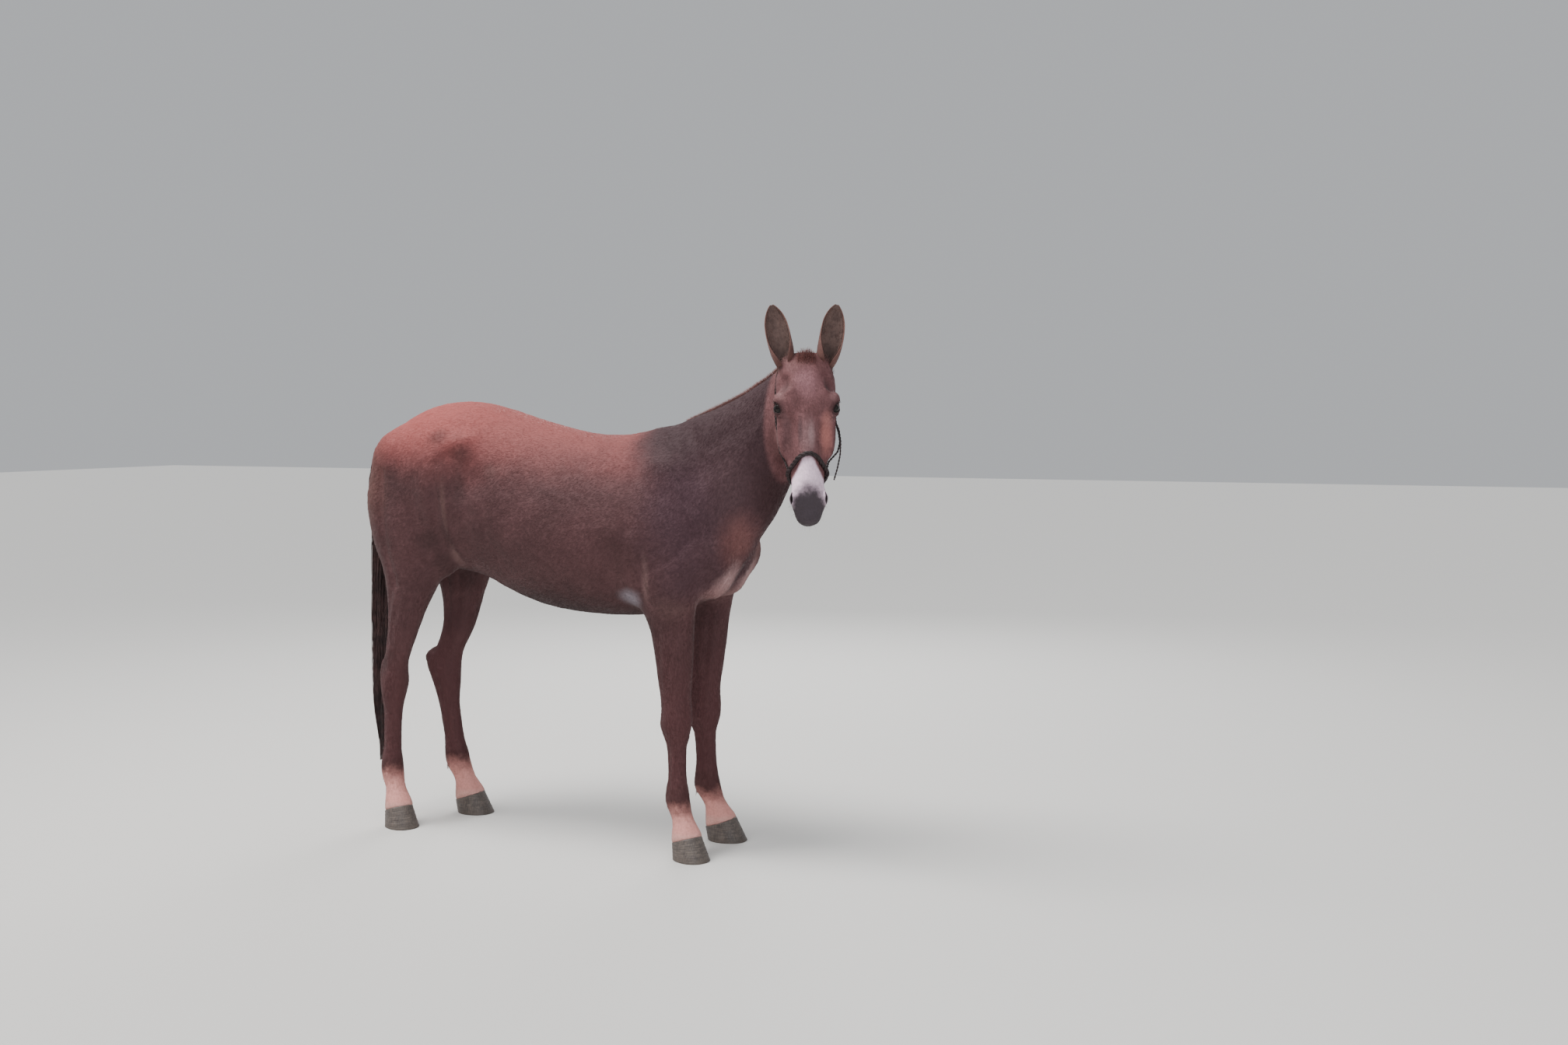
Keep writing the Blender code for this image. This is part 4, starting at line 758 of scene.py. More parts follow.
# Folds, tendons and the edges of muscles on the trunk, seen from the side: places (x, height),
# half width, and how far the skin moves
TRUNK_LINES = {
    "flank_ridge": (((-0.405, 1.270), (-0.394, 1.160), (-0.382, 1.060), (-0.356, 0.985)), 0.016, 0.006),
    "flank_hollow": (((-0.372, 1.320), (-0.345, 1.230), (-0.300, 1.140)), 0.032, -0.009),
    "thigh_fold": (((-0.425, 1.240), (-0.430, 1.120), (-0.420, 1.020)), 0.014, -0.004),
    "hip_edge": (((-0.300, 1.395), (-0.360, 1.375), (-0.430, 1.330)), 0.018, 0.003),
    "last_rib": (((-0.190, 1.310), (-0.232, 1.200), (-0.218, 1.060), (-0.150, 0.940)), 0.020, -0.003),
    "rib": (((-0.110, 1.320), (-0.140, 1.200), (-0.120, 1.060), (-0.060, 0.940)), 0.014, -0.0012),
    "blade_front": (((0.470, 1.420), (0.530, 1.280), (0.590, 1.130)), 0.024, -0.005),
    "blade_ridge": (((0.390, 1.410), (0.445, 1.270), (0.515, 1.130)), 0.022, 0.004),
    "blade_back": (((0.330, 1.370), (0.300, 1.230), (0.312, 1.100)), 0.026, -0.005),
    "arm_line": (((0.530, 1.070), (0.455, 1.000), (0.370, 0.955)), 0.016, -0.004),
    "triceps_edge": (((0.312, 1.100), (0.300, 1.000), (0.318, 0.930)), 0.016, -0.004),
    "elbow_fold": (((0.350, 0.985), (0.362, 0.920), (0.386, 0.850)), 0.009, -0.004),
    "girth": (((0.262, 1.020), (0.252, 0.900), (0.275, 0.830)), 0.024, -0.006),
    "elbow": (((0.322, 0.920), (0.326, 0.900)), 0.026, 0.006),
    "ham_groove": (((-0.662, 1.270), (-0.655, 1.120), (-0.636, 0.980), (-0.606, 0.870)), 0.016, -0.006),
    "thigh_muscle": (((-0.525, 1.240), (-0.500, 1.100), (-0.474, 0.990)), 0.020, -0.0035),
    "stifle_edge": (((-0.520, 0.985), (-0.488, 0.940), (-0.452, 0.930)), 0.016, -0.004),
    "neck_groove": (((0.745, 1.300), (0.700, 1.190), (0.655, 1.060)), 0.016, -0.004),
    "neck_muscle": (((0.760, 1.460), (0.680, 1.360), (0.600, 1.250)), 0.030, 0.003),
    "neck_hollow": (((0.770, 1.530), (0.680, 1.450), (0.560, 1.380)), 0.030, -0.003),
}
# The same on the legs, both faces: forward of the leg's axis and height
FORE_LINES = {
    "forearm_front": (((0.026, 0.780), (0.020, 0.660), (0.012, 0.560)), 0.011, -0.0035),
    "forearm_back": (((-0.026, 0.780), (-0.022, 0.660), (-0.020, 0.560)), 0.010, -0.0035),
    "knee_edge": (((0.030, 0.485), (0.036, 0.450), (0.026, 0.415)), 0.008, -0.0022),
    "knee_back": (((-0.024, 0.500), (-0.030, 0.455), (-0.020, 0.405)), 0.009, -0.0030),
    "cannon_groove": (((-0.010, 0.395), (-0.010, 0.300), (-0.012, 0.235)), 0.007, -0.0038),
    "tendon_groove": (((-0.027, 0.385), (-0.027, 0.300), (-0.030, 0.245)), 0.005, -0.0022),
    "pastern_hollow": (((0.004, 0.178), (0.018, 0.140)), 0.012, -0.0040),
}
HIND_LINES = {
    "gaskin_groove": (((0.085, 0.900), (0.068, 0.780), (0.050, 0.660)), 0.012, -0.0045),
    "gaskin_front": (((0.135, 0.880), (0.105, 0.760), (0.075, 0.660)), 0.010, -0.0030),
    "hock_hollow": (((0.012, 0.720), (-0.012, 0.650), (-0.026, 0.600)), 0.012, -0.0075),
    "hock_point": (((-0.062, 0.585), (-0.064, 0.575)), 0.016, 0.0040),
    "hock_bone": (((0.036, 0.590), (0.030, 0.530), (0.016, 0.480)), 0.014, 0.0025),
    "hock_groove": (((-0.016, 0.575), (-0.020, 0.520), (-0.014, 0.465)), 0.009, -0.0038),
    "cannon_groove": (((-0.010, 0.450), (-0.010, 0.340), (-0.012, 0.245)), 0.007, -0.0038),
    "tendon_groove": (((-0.028, 0.430), (-0.027, 0.340), (-0.030, 0.255)), 0.005, -0.0022),
    "pastern_hollow": (((0.004, 0.180), (0.018, 0.142)), 0.012, -0.0040),
}
# The same on the head, in its own frame, for the left side and mirrored
HEAD_LINES = {
    "face_crest": (((0.222, 0.090, -0.070), (0.285, 0.082, -0.082), (0.345, 0.064, -0.074)), 0.009, 0.0034),
    "under_crest": (((0.255, 0.086, -0.100), (0.310, 0.074, -0.104), (0.350, 0.058, -0.100)), 0.013, -0.0030),
    "nose_edge": (((0.235, 0.050, 0.000), (0.310, 0.040, 0.000), (0.400, 0.033, -0.004)), 0.010, 0.0022),
    "nose_side": (((0.275, 0.066, -0.026), (0.340, 0.054, -0.026), (0.410, 0.044, -0.026)), 0.013, -0.0035),
    "temple": (((0.112, 0.070, -0.022), (0.142, 0.074, -0.016)), 0.021, -0.0085),
    "brow_arch": (((0.150, 0.060, 0.004), (0.158, 0.086, -0.018), (0.168, 0.098, -0.040)), 0.010, 0.0038),
    "arch_to_ear": (((0.180, 0.098, -0.062), (0.135, 0.094, -0.068), (0.090, 0.084, -0.080)), 0.011, 0.0036),
    "jaw_hollow": (((0.120, 0.080, -0.110), (0.165, 0.084, -0.105)), 0.018, -0.0030),
    "jaw_edge": (((0.318, 0.050, -0.120), (0.322, 0.046, -0.160), (0.290, 0.044, -0.205)), 0.012, -0.0035),
    "cheek_vein": (((0.300, 0.078, -0.070), (0.340, 0.064, -0.092), (0.352, 0.056, -0.125)), 0.0040, 0.0022),
    "face_vein": (((0.250, 0.084, -0.050), (0.290, 0.072, -0.040), (0.330, 0.060, -0.034)), 0.0040, 0.0016),
    "nose_fold": (((0.472, 0.046, -0.018), (0.445, 0.044, -0.016), (0.415, 0.041, -0.018)), 0.006, -0.0026),
    "lip_fold": (((0.478, 0.040, -0.072), (0.462, 0.043, -0.078), (0.448, 0.045, -0.088)), 0.005, -0.0028),
    "lip_corner": (((0.492, 0.040, -0.066), (0.470, 0.046, -0.068)), 0.009, 0.0020),
    "forehead_mid": (((0.090, 0.000, 0.004), (0.180, 0.000, 0.012)), 0.014, -0.0012),
}
# Eyelids: their edge's half width, its height above and below, and how much it tilts
LID_HALF_WIDTH = 0.0205
LID_ABOVE = 0.0142
LID_BELOW = 0.0116
LID_TILT = 0.0016
# The balls that the lids and the wall behind them follow: radius, and the least height
LID_BALL = (0.0250, 0.005477)
WALL_BALL = (0.0226, 0.004472)
# Rings from the old skin to the edge, and the folds on the way: share of the way, width and rise
LID_RINGS = 26
UPPER_FOLDS = (
    (0.62, 0.055, -0.0024),
    (0.76, 0.080, 0.0010),
    (0.50, 0.050, 0.0010),
    (0.38, 0.040, -0.0010),
    (0.28, 0.050, 0.0007),
)
LOWER_FOLDS = ((0.62, 0.060, -0.0015), (0.78, 0.080, 0.0007), (0.44, 0.050, -0.0007))
# Rings behind the lids' edge: size against it, and lift
LID_WALL = ((0.975, 0.0015), (0.945, 0.0007), (0.925, -0.0002), (0.900, -0.0025), (0.720, -0.0080))
# Rings inside a nostril: size against its rim, depth, and darkness, which is painted shade inside the passage
NOSTRIL_RINGS = 16
NOSTRIL_PASSAGE = (
    (0.94, 0.0012, 0.8),
    (0.86, 0.0040, 1.0),
    (0.84, 0.0100, 1.0),
    (0.86, 0.0180, 1.0),
    (0.60, 0.0260, 1.0),
)


def fused_flesh(sizes):
    """One closed skin from copies of the flesh nodes, swollen a little so that they meet."""
    copies = []
    for name in FLESH:
        mesh = bpy.data.objects[name].data.copy()
        shape = bmesh.new()
        shape.from_mesh(mesh)
        bmesh.ops.remove_doubles(shape, verts=shape.verts, dist=0.00002)
        shape.normal_update()
        for point in shape.verts:
            point.co += point.normal * SWOLLEN
        shape.to_mesh(mesh)
        shape.free()
        copies.append(add_object(f"skin_{name}", mesh))
    for side in (-1, 1):
        nostril = nostril_frame(side) @ Matrix.Translation((0, 0, -0.004))
        for place, radii in (
            (eye_frame(side), (EYE_RADIUS + 0.002,) * 3),
            (nostril, (0.024, 0.0125, 0.020)),
        ):
            deselect()
            bpy.ops.mesh.primitive_uv_sphere_add(segments=32, ring_count=24, radius=1.0)
            placed(bpy.context.object, place @ Matrix.Diagonal((*radii, 1.0)))
            copies.append(bpy.context.object)
    skin = joined("skin", copies)
    modifier(skin, "REMESH", mode="VOXEL", voxel_size=sizes.voxel, adaptivity=0.0)
    return skin


def shape_muscles(skin):
    """Draws the folds, tendons and muscle edges on the trunk, legs and head."""
    rows, normals = points_of(skin.data), normals_of(skin.data)
    here = carried(WHERE.inverted(), rows)
    head = is_head(rows)
    move = np.zeros_like(rows)
    for side in (-1, 1):
        on_side = eased((normals[:, 1] * side - 0.12) / 0.5) * ~head * (here[:, 2] > TRUNK_FLOOR)
        for line, width, depth in TRUNK_LINES.values():
            move += drawn(here[:, [0, 2]], normals, line, width, depth, on_side)
    for stance, (kind, side, *_) in STANCE.items():
        own_side = (here[:, 1] * side > 0) & ((here[:, 0] > 0) == (kind == "fore"))
        near = own_side & (here[:, 2] < LEG_TOP)
        places = leg_places(stance, rows[near])
        lines = FORE_LINES if kind == "fore" else HIND_LINES
        for line, width, depth in lines.values():
            move[near] += drawn(places[:, [0, 2]], normals[near], line, width, depth)
    inside = carried(HEAD.inverted(), rows[head])
    for side in (-1, 1):
        for line, width, depth in HEAD_LINES.values():
            drawn_twice = all(place[1] == 0 for place in line)
            line = [mirrored(place, side) for place in line]
            move[head] += drawn(inside, normals[head], line, width, depth * (0.5 if drawn_twice else 1.0))
    x, y, z = here.T
    wave = np.sin(x * 61 + 2.1 * np.sin(z * 37))
    wave = wave * np.sin(z * 53 + 1.7 * np.sin(y * 41 + x * 23)) * np.sin(y * 67 + z * 19)
    uneven = UNEVENNESS * wave * np.where(head, 0.25, eased((z - 0.5) / 0.4))
    put_points(skin.data, rows + move + normals * uneven[:, None])


def finer(shape, place, reach):
    """Halves the edges of every face whose middle is within reach of a place."""
    faces = [face for face in shape.faces if (face.calc_center_median() - place).length < reach]
    edges = list(dict.fromkeys(edge for face in faces for edge in face.edges))
    bmesh.ops.subdivide_edges(shape, edges=edges, cuts=1, use_grid_fill=True)


def longest_loop(edges):
    """The longest closed run of points along these edges, in order."""
    links = {}
    for edge in edges:
        for point in edge.verts:
            links.setdefault(point, []).append(edge.other_vert(point))
    longest = []
    seen = set()
    for start in links:
        if start in seen:
            continue
        loop, before, here = [start], None, start
        while True:
            step = [point for point in links[here] if point is not before]
            before, here = here, step[0]
            if here is start:
                break
            loop.append(here)
        seen.update(loop)
        longest = max(longest, loop, key=len)
    return longest


def open_hole(shape, place, reach):
    """Deletes the skin inside an ellipse of a frame, and gives the hole's edge in order."""
    inverse = place.inverted()

    def inside(point):
        x, y, z = inverse @ point.co
        return (x / reach[0]) ** 2 + (y / reach[1]) ** 2 < 1 and -0.030 < z < 0.045

    doomed = [face for face in shape.faces if all(inside(point) for point in face.verts)]
    while doomed:
        bmesh.ops.delete(shape, geom=doomed, context="FACES")
        free = [edge for edge in shape.edges if len(edge.link_faces) == 1]
        edges = [edge for edge in free if (inverse @ edge.verts[0].co).length < 0.12]
        times = Counter(point for edge in edges for point in edge.verts)
        pinched = [point for point, count in times.items() if count > 2]
        doomed = list(dict.fromkeys(face for point in pinched for face in point.link_faces))
    loop = longest_loop(edges)
    flat = [inverse @ point.co for point in loop]
    area = sum(a.x * b.y - b.x * a.y for a, b in zip(flat, flat[1:] + flat[:1]))
    return loop if area > 0 else loop[::-1]


def fill_rings(shape, place, loop, rings, dark_skin_and_shade_layer):
    """Fills a hole with rings of points, given in the frame from the outside in, and closes it."""
    flip = place.determinant() < 0

    def added(spot, dark):
        point = shape.verts.new(place @ Vector(spot))
        point[dark_skin_and_shade_layer] = dark
        return point

    before = loop
    for spots, dark in rings:
        ring = [added(spot, dark) for spot in spots]
        bridge(shape, before, ring, flip=flip)
        before = ring
    spots, dark = rings[-1]
    middle = added(np.mean(spots, axis=0), dark)
    for k, point in enumerate(before):
        corners = (point, before[(k + 1) % len(before)], middle)
        shape.faces.new(corners[::-1] if flip else corners)


def ease_round(values, rounds):
    """Evens out numbers that run round a ring."""
    for _ in range(rounds):
        values = (np.roll(values, 1) + 2 * values + np.roll(values, -1)) / 4
    return values


def even_start(place, loop, reach, squash):
    """The hole's edge in its frame, an evened ellipse beside it, and the angles round it."""
    inverse = place.inverted()
    start = np.array([inverse @ point.co for point in loop])[:, :2]
    angle = np.unwrap(np.arctan2(start[:, 1] / squash, start[:, 0]))
    drift = np.arange(len(angle)) * 2 * math.pi / len(angle)
    angle = ease_round(angle - drift, 30) + drift
    oval = np.stack([0.90 * reach[0] * np.cos(angle), 0.90 * reach[1] * np.sin(angle)], axis=1)
    return start, oval, angle


def ring_places(tree, place, start, oval, border, share):
    """One ring between a hole's edge and its border, with the height of the old skin there."""
    settle = float(eased(share / 0.22))
    outer = start * (1 - settle) + oval * settle
    flat = outer + (border - outer) * share
    way = -(place.to_3x3() @ Vector((0, 0, 1)))
    found = []
    for x, y in flat:
        hit = tree.ray_cast(place @ Vector((x, y, 0.05)), way, 0.11)[0]
        found.append((place.inverted() @ hit).z if hit else 0.0)
    return flat, ease_round(np.array(found), 4)


def lid_edge(angle):
    """The edge of the lids round the eye, flat in its frame."""
    rise = np.sign(np.sin(angle)) * np.abs(np.sin(angle)) ** 1.25
    height = rise * np.where(rise > 0, LID_ABOVE, LID_BELOW) - LID_TILT * np.cos(angle)
    return np.stack([LID_HALF_WIDTH * np.cos(angle), height], axis=1)


def ball_height(flat, radius, least):
    """How high a ball stands over the flat places round its middle, and no less than the least."""
    return np.sqrt(np.maximum(radius**2 - (flat**2).sum(axis=1), least**2))


def lid_rings(tree, place, loop, reach):
    """The lids round an eye: folds, margin and the wall that closes behind the eyeball's edge."""
    start, oval, angle = even_start(place, loop, reach, 0.80)
    border = lid_edge(angle)
    border[:, 0] += 0.0045 * eased((np.cos(angle) - 0.90) / 0.10)
    upper = eased((np.sin(angle) + 0.15) / 0.5)
    rings = []
    for share in np.arange(1, LID_RINGS + 1) / LID_RINGS:
        flat, base = ring_places(tree, place, start, oval, border, share)
        blend = eased((share - 0.30) / 0.70)
        z = base * (1 - blend) + ball_height(flat, *LID_BALL) * blend
        z += upper * sum(depth * hump(share, spot, width) for spot, width, depth in UPPER_FOLDS)
        z += (1 - upper) * sum(depth * hump(share, spot, width) for spot, width, depth in LOWER_FOLDS)
        z += 0.0004 * hump(share, 0.95, 0.04)
        rings.append((np.column_stack([flat, z]), 0.85 * float(eased((share - 0.88) / 0.12))))
    # The wall behind the lids' edge is marked fully dark: painted shade in the gap round the eyeball.
    for scale, lift in LID_WALL:
        flat = border * scale
        rings.append((np.column_stack([flat, ball_height(flat, *WALL_BALL) + lift]), 1.0))
    return rings


def nostril_rings(tree, place, loop, reach):
    """A comma-shaped nostril with a raised wing, and the passage behind it, marked dark as painted shade."""
    start, oval, angle = even_start(place, loop, reach, 0.62)
    wide = 0.0070 * (1 + 0.45 * np.cos(angle))
    border = np.stack([0.0200 * np.cos(angle), wide * np.sin(angle)], axis=1)
    border[:, 1] += 0.0042 * np.cos(angle) ** 2 - 0.0015
    rings = []
    for share in np.arange(1, NOSTRIL_RINGS + 1) / NOSTRIL_RINGS:
        flat, base = ring_places(tree, place, start, oval, border, share)
        z = base + 0.0026 * hump(share, 0.90, 0.20) - 0.0010 * hump(share, 0.45, 0.16)
        # Marked darker towards the rim: painted shade where the skin turns into the nostril.
        rings.append((np.column_stack([flat, z]), 0.6 * float(eased((share - 0.8) / 0.2))))
    edge = rings[-1][0][:, 2]
    for scale, drop, dark in NOSTRIL_PASSAGE:
        rings.append((np.column_stack([border * scale, edge - drop]), dark))
    return rings


def mouth_points(tree):
    """Points of the mouth's line on the muzzle, from one corner round the lips to the other."""
    found = []
    for angle in np.radians(np.linspace(-128, 128, 61)):
        way = Vector((math.cos(angle), math.sin(angle), 0.0))
        start = Vector((0.520, 0.0, -0.076 - 0.012 * (1 - math.cos(angle)) / 2))
        hit = tree.ray_cast(HEAD @ (start + way * 0.2), HEAD.to_3x3() @ -way)[0]
        if hit and (HEAD.inverted() @ hit).x > 0.478:
            found.append(tuple(hit))
    return found


def draw_mouth(shape, mouth, dark_skin_and_shade_layer):
    """Presses the mouth's line into the muzzle, with full lips beside it, and marks the line dark as painted
    shade in its crease.
    """
    middle = HEAD @ Vector((0.52, 0, -0.07))
    near = [point for point in shape.verts if (point.co - middle).length < 0.09]
    rows = np.array([point.co for point in near])
    far = far_from_line(rows, mouth)
    line = hump(far, 0.0, 0.0022)
    upper_lip = carried(HEAD.inverted(), rows)[:, 2] > -0.082
    move = 0.0016 * hump(far, 0.0075, 0.005) * np.where(upper_lip, 1.0, 0.7) - 0.0040 * line
    for point, step, share in zip(near, move, line):
        if point[dark_skin_and_shade_layer] < 0.5:
            point.co += point.normal * step
            # Painted shade along the mouth's line.
            point[dark_skin_and_shade_layer] = max(point[dark_skin_and_shade_layer], 0.9 * share)


def shape_face(skin):
    """Opens the lids and nostrils, and draws the mouth with its lips."""
    tree = tree_of(skin)
    shape = bmesh.new()
    shape.from_mesh(skin.data)
    # This layer marks the lids' dark margins, and painted shade in the nostrils, behind the lids and along
    # the mouth's line.
    dark_skin_and_shade_layer = shape.verts.layers.float.new("dark")
    for side in (-1, 1):
        finer(shape, eye_frame(side) @ Vector((0, 0, 0.015)), 0.052)
        finer(shape, nostril_frame(side).translation, 0.040)
    finer(shape, HEAD @ Vector((0.530, 0.0, -0.075)), 0.052)
    for side in (-1, 1):
        for place, reach, rings_for in (
            (eye_frame(side), (0.036, 0.030), lid_rings),
            (nostril_frame(side), (0.0290, 0.0175), nostril_rings),
        ):
            loop = open_hole(shape, place, reach)
            fill_rings(shape, place, loop, rings_for(tree, place, loop, reach), dark_skin_and_shade_layer)
    shape.normal_update()
    draw_mouth(shape, mouth_points(tree), dark_skin_and_shade_layer)
    bmesh.ops.triangulate(shape, faces=[face for face in shape.faces if len(face.verts) > 3])
    shape.to_mesh(skin.data)
    shape.free()
    skin.data.update()


class SkinSizes(bpy.types.PropertyGroup):
    voxel: bpy.props.FloatProperty(
        name="Voxel", description="Fineness of the fused skin", default=0.0045, min=0.002, unit="LENGTH"
    )
    triangles: bpy.props.IntProperty(
        name="Triangles", description="Triangles of the skin before its lids and nostrils", default=150000
    )
    coat_colour: bpy.props.FloatVectorProperty(
        name="Coat", description="Colour of the flanks", subtype="COLOR", default=(0.082, 0.036, 0.038)
    )


class MULE_OT_skin(bpy.types.Operator):
    """One skin over the flesh, with its muscles, tendons, lids, nostrils and mouth"""

    bl_idname = "mule.skin"
    bl_label = "Skin"

    def execute(self, context):
        sizes = context.scene.mule_skin
        skin = fused_flesh(sizes)
        weigh(skin, "soft", softness(points_of(skin.data)))
        modifier(skin, "SMOOTH", factor=0.5, iterations=150, vertex_group="soft")
        shape_muscles(skin)
        modifier(skin, "SMOOTH", factor=0.5, iterations=3)
        skin.vertex_groups.clear()
        weigh(skin, "gives", np.where(is_head(points_of(skin.data)), 0.0, 1.0))
        ratio = sizes.triangles / (2 * len(skin.data.polygons))
        modifier(skin, "DECIMATE", ratio=ratio, vertex_group="gives")
        skin.vertex_groups.clear()
        shape_face(skin)
        smooth(skin)
        finished(skin, coat_paint("coat_on_skin", sizes), "coat", *FLESH)
        return {"FINISHED"}


# Ears, eyes and hooves


# An ear's cup from root to tip: share of its length, radius, and how far it closes round in degrees
EAR_CUP = (
    (-0.20, 0.0130, 172.0),
    (-0.08, 0.0185, 170.0),
    (0.02, 0.0245, 165.0),
    (0.12, 0.0310, 158.0),
    (0.26, 0.0375, 138.0),
    (0.44, 0.0395, 108.0),
    (0.62, 0.0390, 88.0),
    (0.76, 0.0360, 76.0),
    (0.88, 0.0270, 68.0),
    (0.96, 0.0150, 64.0),
    (1.00, 0.0060, 60.0),
)
EAR_ROWS = 52
EAR_COLUMNS = 33


class EarSizes(bpy.types.PropertyGroup):
    length: bpy.props.FloatProperty(
        name="Length", description="Length of an ear from root to tip", default=0.225, unit="LENGTH"
    )
    thickness: bpy.props.FloatProperty(
        name="Thickness", description="Thickness of the ear's wall", default=0.0042, unit="LENGTH"
    )


def ear_cup(name, side, sizes):
    """A cupped ear, closed round its rim, with its narrow root sunk in the head."""
    up, opens, across = ear_axes(side)
    rows = through([(share, 0, 0, radius, angle) for share, radius, angle in EAR_CUP], EAR_ROWS)
    shape = bmesh.new()
    marks = [shape.verts.layers.float.new(key) for key in ("inside", "rim", "height")]
    sheets = []
    for inset in (0.0, sizes.thickness):
        grid = []
        for share, _, _, radius, angle in rows:
            thin = inset * (1.0 - 0.45 * max(share, 0.0))
            lift = sizes.length * share - (thin if share > 0.99 else 0.0)
            sunk = max(0.0, 0.14 - share) * 0.24
            centre = Vector(mirrored(EAR_ROOT, side)) + up * lift + opens * (radius * 0.55 - sunk)
            half = math.radians(angle)
            reach = max(radius - thin, 0.0015)
            line = []
            for turn in np.linspace(-1, 1, EAR_COLUMNS):
                arm = across * math.sin(half * turn) - opens * math.cos(half * turn)
                point = shape.verts.new(HEAD @ (centre + arm * reach))
                near_rim = max(0.0, abs(turn) - 0.80) / 0.20
                for mark, value in zip(marks, (1.0 if inset else 0.0, near_rim, share)):
                    point[mark] = value
                line.append(point)
            grid.append(line)
        sheets.append(grid)
        for low, high in zip(grid, grid[1:]):
            bridge(shape, low, high, closed=False)
    outer, inner = sheets
    for end in (0, -1):
        bridge(shape, [line[end] for line in outer], [line[end] for line in inner], closed=False)
        bridge(shape, outer[end], inner[end], closed=False)
    thing = from_shape(name, shape)
    modifier(thing, "SUBSURF", levels=1, render_levels=1)
    smooth(thing)
    return thing


def ear_paint():
    """Grey-brown inside, with painted shade deep in the cup towards the root and reddish rims, the coat's
    colour outside.
    """
    paint = Paint("coat_on_ears")
    height = paint.marked("height")
    fine = paint.noise(0.020, 4.0, 0.7)
    outside = paint.mix(paint.ramp(fine, 0.3, 0.7), (0.090, 0.042, 0.038), (0.130, 0.058, 0.048))
    outside = paint.mix(paint.ramp(height, 0.84, 1.0) * 0.6, outside, (0.045, 0.024, 0.022))
    within = paint.mix(paint.ramp(fine, 0.3, 0.7), (0.088, 0.056, 0.050), (0.145, 0.092, 0.080))
    # Painted shade deep in the cup, darker towards the root.
    within = paint.mix(paint.ramp(height, 0.48, 0.08) * 0.85, within, (0.018, 0.012, 0.012))
    within = paint.mix(paint.marked("rim") * 0.7, within, (0.190, 0.078, 0.060))
    colour = paint.mix(paint.marked("inside"), outside, within)
    hairs = paint.bump(paint.noise(0.0015, 3.0, 0.6, stretch=(9, 1, 1), turn=HEAD_TURN), 0.6, 0.0008)
    return paint.close(colour, 0.75, hairs, Specular_IOR_Level=0.22, Sheen_Weight=0.05)


class MULE_OT_ears(bpy.types.Operator):
    """The two long ears"""

    bl_idname = "mule.ears"
    bl_label = "Ears"

    def execute(self, context):
        paint = ear_paint()
        for side, node in ((-1, "ear_right"), (1, "ear_left")):
            cup = ear_cup(f"{node}_cup", side, context.scene.mule_ears)
            finished(cup, paint, "coat", node)
        return {"FINISHED"}


def eye_paint(name, side):
    """A wet dark eye: brown iris, lying pupil, and a darker edge."""
    paint = Paint(name)
    turn = tuple((HEAD.to_3x3() @ Matrix(eye_axes(side)).transposed()).to_euler("XYZ"))
    centre = tuple(eye_frame(side).translation)
    fibres = paint.noise(0.0012, 3.0, 0.6)
    colour = paint.mix(paint.ramp(fibres, 0.3, 0.7), (0.0035, 0.0018, 0.0012), (0.0090, 0.0040, 0.0024))
    pupil = paint.ramp(paint.far(centre, (0.0078, 0.0042, 1.0), turn), 1.10, 0.95)
    colour = paint.mix(pupil, colour, (0.0005, 0.0005, 0.0005))
    edge = paint.ramp(paint.far(centre, (0.0150, 0.0150, 1.0), turn), 0.88, 1.0)
    colour = paint.mix(edge, colour, (0.0015, 0.0010, 0.0010))
    return paint.close(colour, 0.06, Coat_Weight=0.25, Coat_Roughness=0.03, Specular_IOR_Level=0.14)


class MULE_OT_eyes(bpy.types.Operator):
    """The two eyeballs"""

    bl_idname = "mule.eyes"
    bl_label = "Eyes"

    def execute(self, context):
        for side, node in ((-1, "eye_right"), (1, "eye_left")):
            deselect()
            bpy.ops.mesh.primitive_uv_sphere_add(segments=64, ring_count=48, radius=EYE_RADIUS - 0.0004)
            ball = bpy.context.object
            ball.name = ball.data.name = f"{node}_ball"
            rows = points_of(ball.data)
            far = np.linalg.norm(rows[:, :2], axis=1)
            cornea = CORNEA_RISE * eased((CORNEA_REACH - far) / CORNEA_REACH)
            rows[:, 2] += np.where(rows[:, 2] > 0, cornea, 0.0)
            put_points(ball.data, rows)
            placed(ball, eye_frame(side))
            smooth(ball)
            finished(ball, eye_paint(f"wet_{node}", side), "eye", node)
        return {"FINISHED"}


# Hoof: how far forward of the leg's axis its coronet and its sole reach at toe and heel, the
# coronet's heights, its half width, and how much further the sole spreads
CORONET_TOE = 0.103
CORONET_HEEL = -0.008
SOLE_TOE = 0.142
SOLE_HEEL = 0.002
CORONET_TOE_HEIGHT = 0.078
CORONET_HEEL_HEIGHT = 0.042
CORONET_HALF_WIDTH = 0.0475
SOLE_SPREAD = 0.0100
# Its rings above and below the wall: share of the wall's height, how far they grow, and their lift
RINGS_IN_CORONET = ((0.0, -0.010, 0.004), (0.0, -0.0042, 0.0028), (0.0, -0.0012, 0.0012))
RINGS_ROUND_EDGE = ((0.985, -0.0004, 0.0), (1.0, -0.0022, 0.0), (1.0, -0.0090, 0.0))
RINGS_IN_SOLE = ((1.0, -0.0105, 0.0035), (1.0, -0.022, 0.0065), (1.0, -0.036, 0.0080))


def foot_places(stance, forward, out, height):
    """Places of a foot from how far they lie forward of its axis and out from its middle."""
    kind, side, *_ = STANCE[stance]
    x, turn = leg_axis(stance, np.array([HOOF_HEIGHT]))
    cos, sin = math.cos(turn[0]), math.sin(turn[0])
    across = side * FOOT_OUT[kind] + forward * sin + out * cos
    return carried(WHERE, np.stack([x[0] + forward * cos - out * sin, across, height], axis=-1))


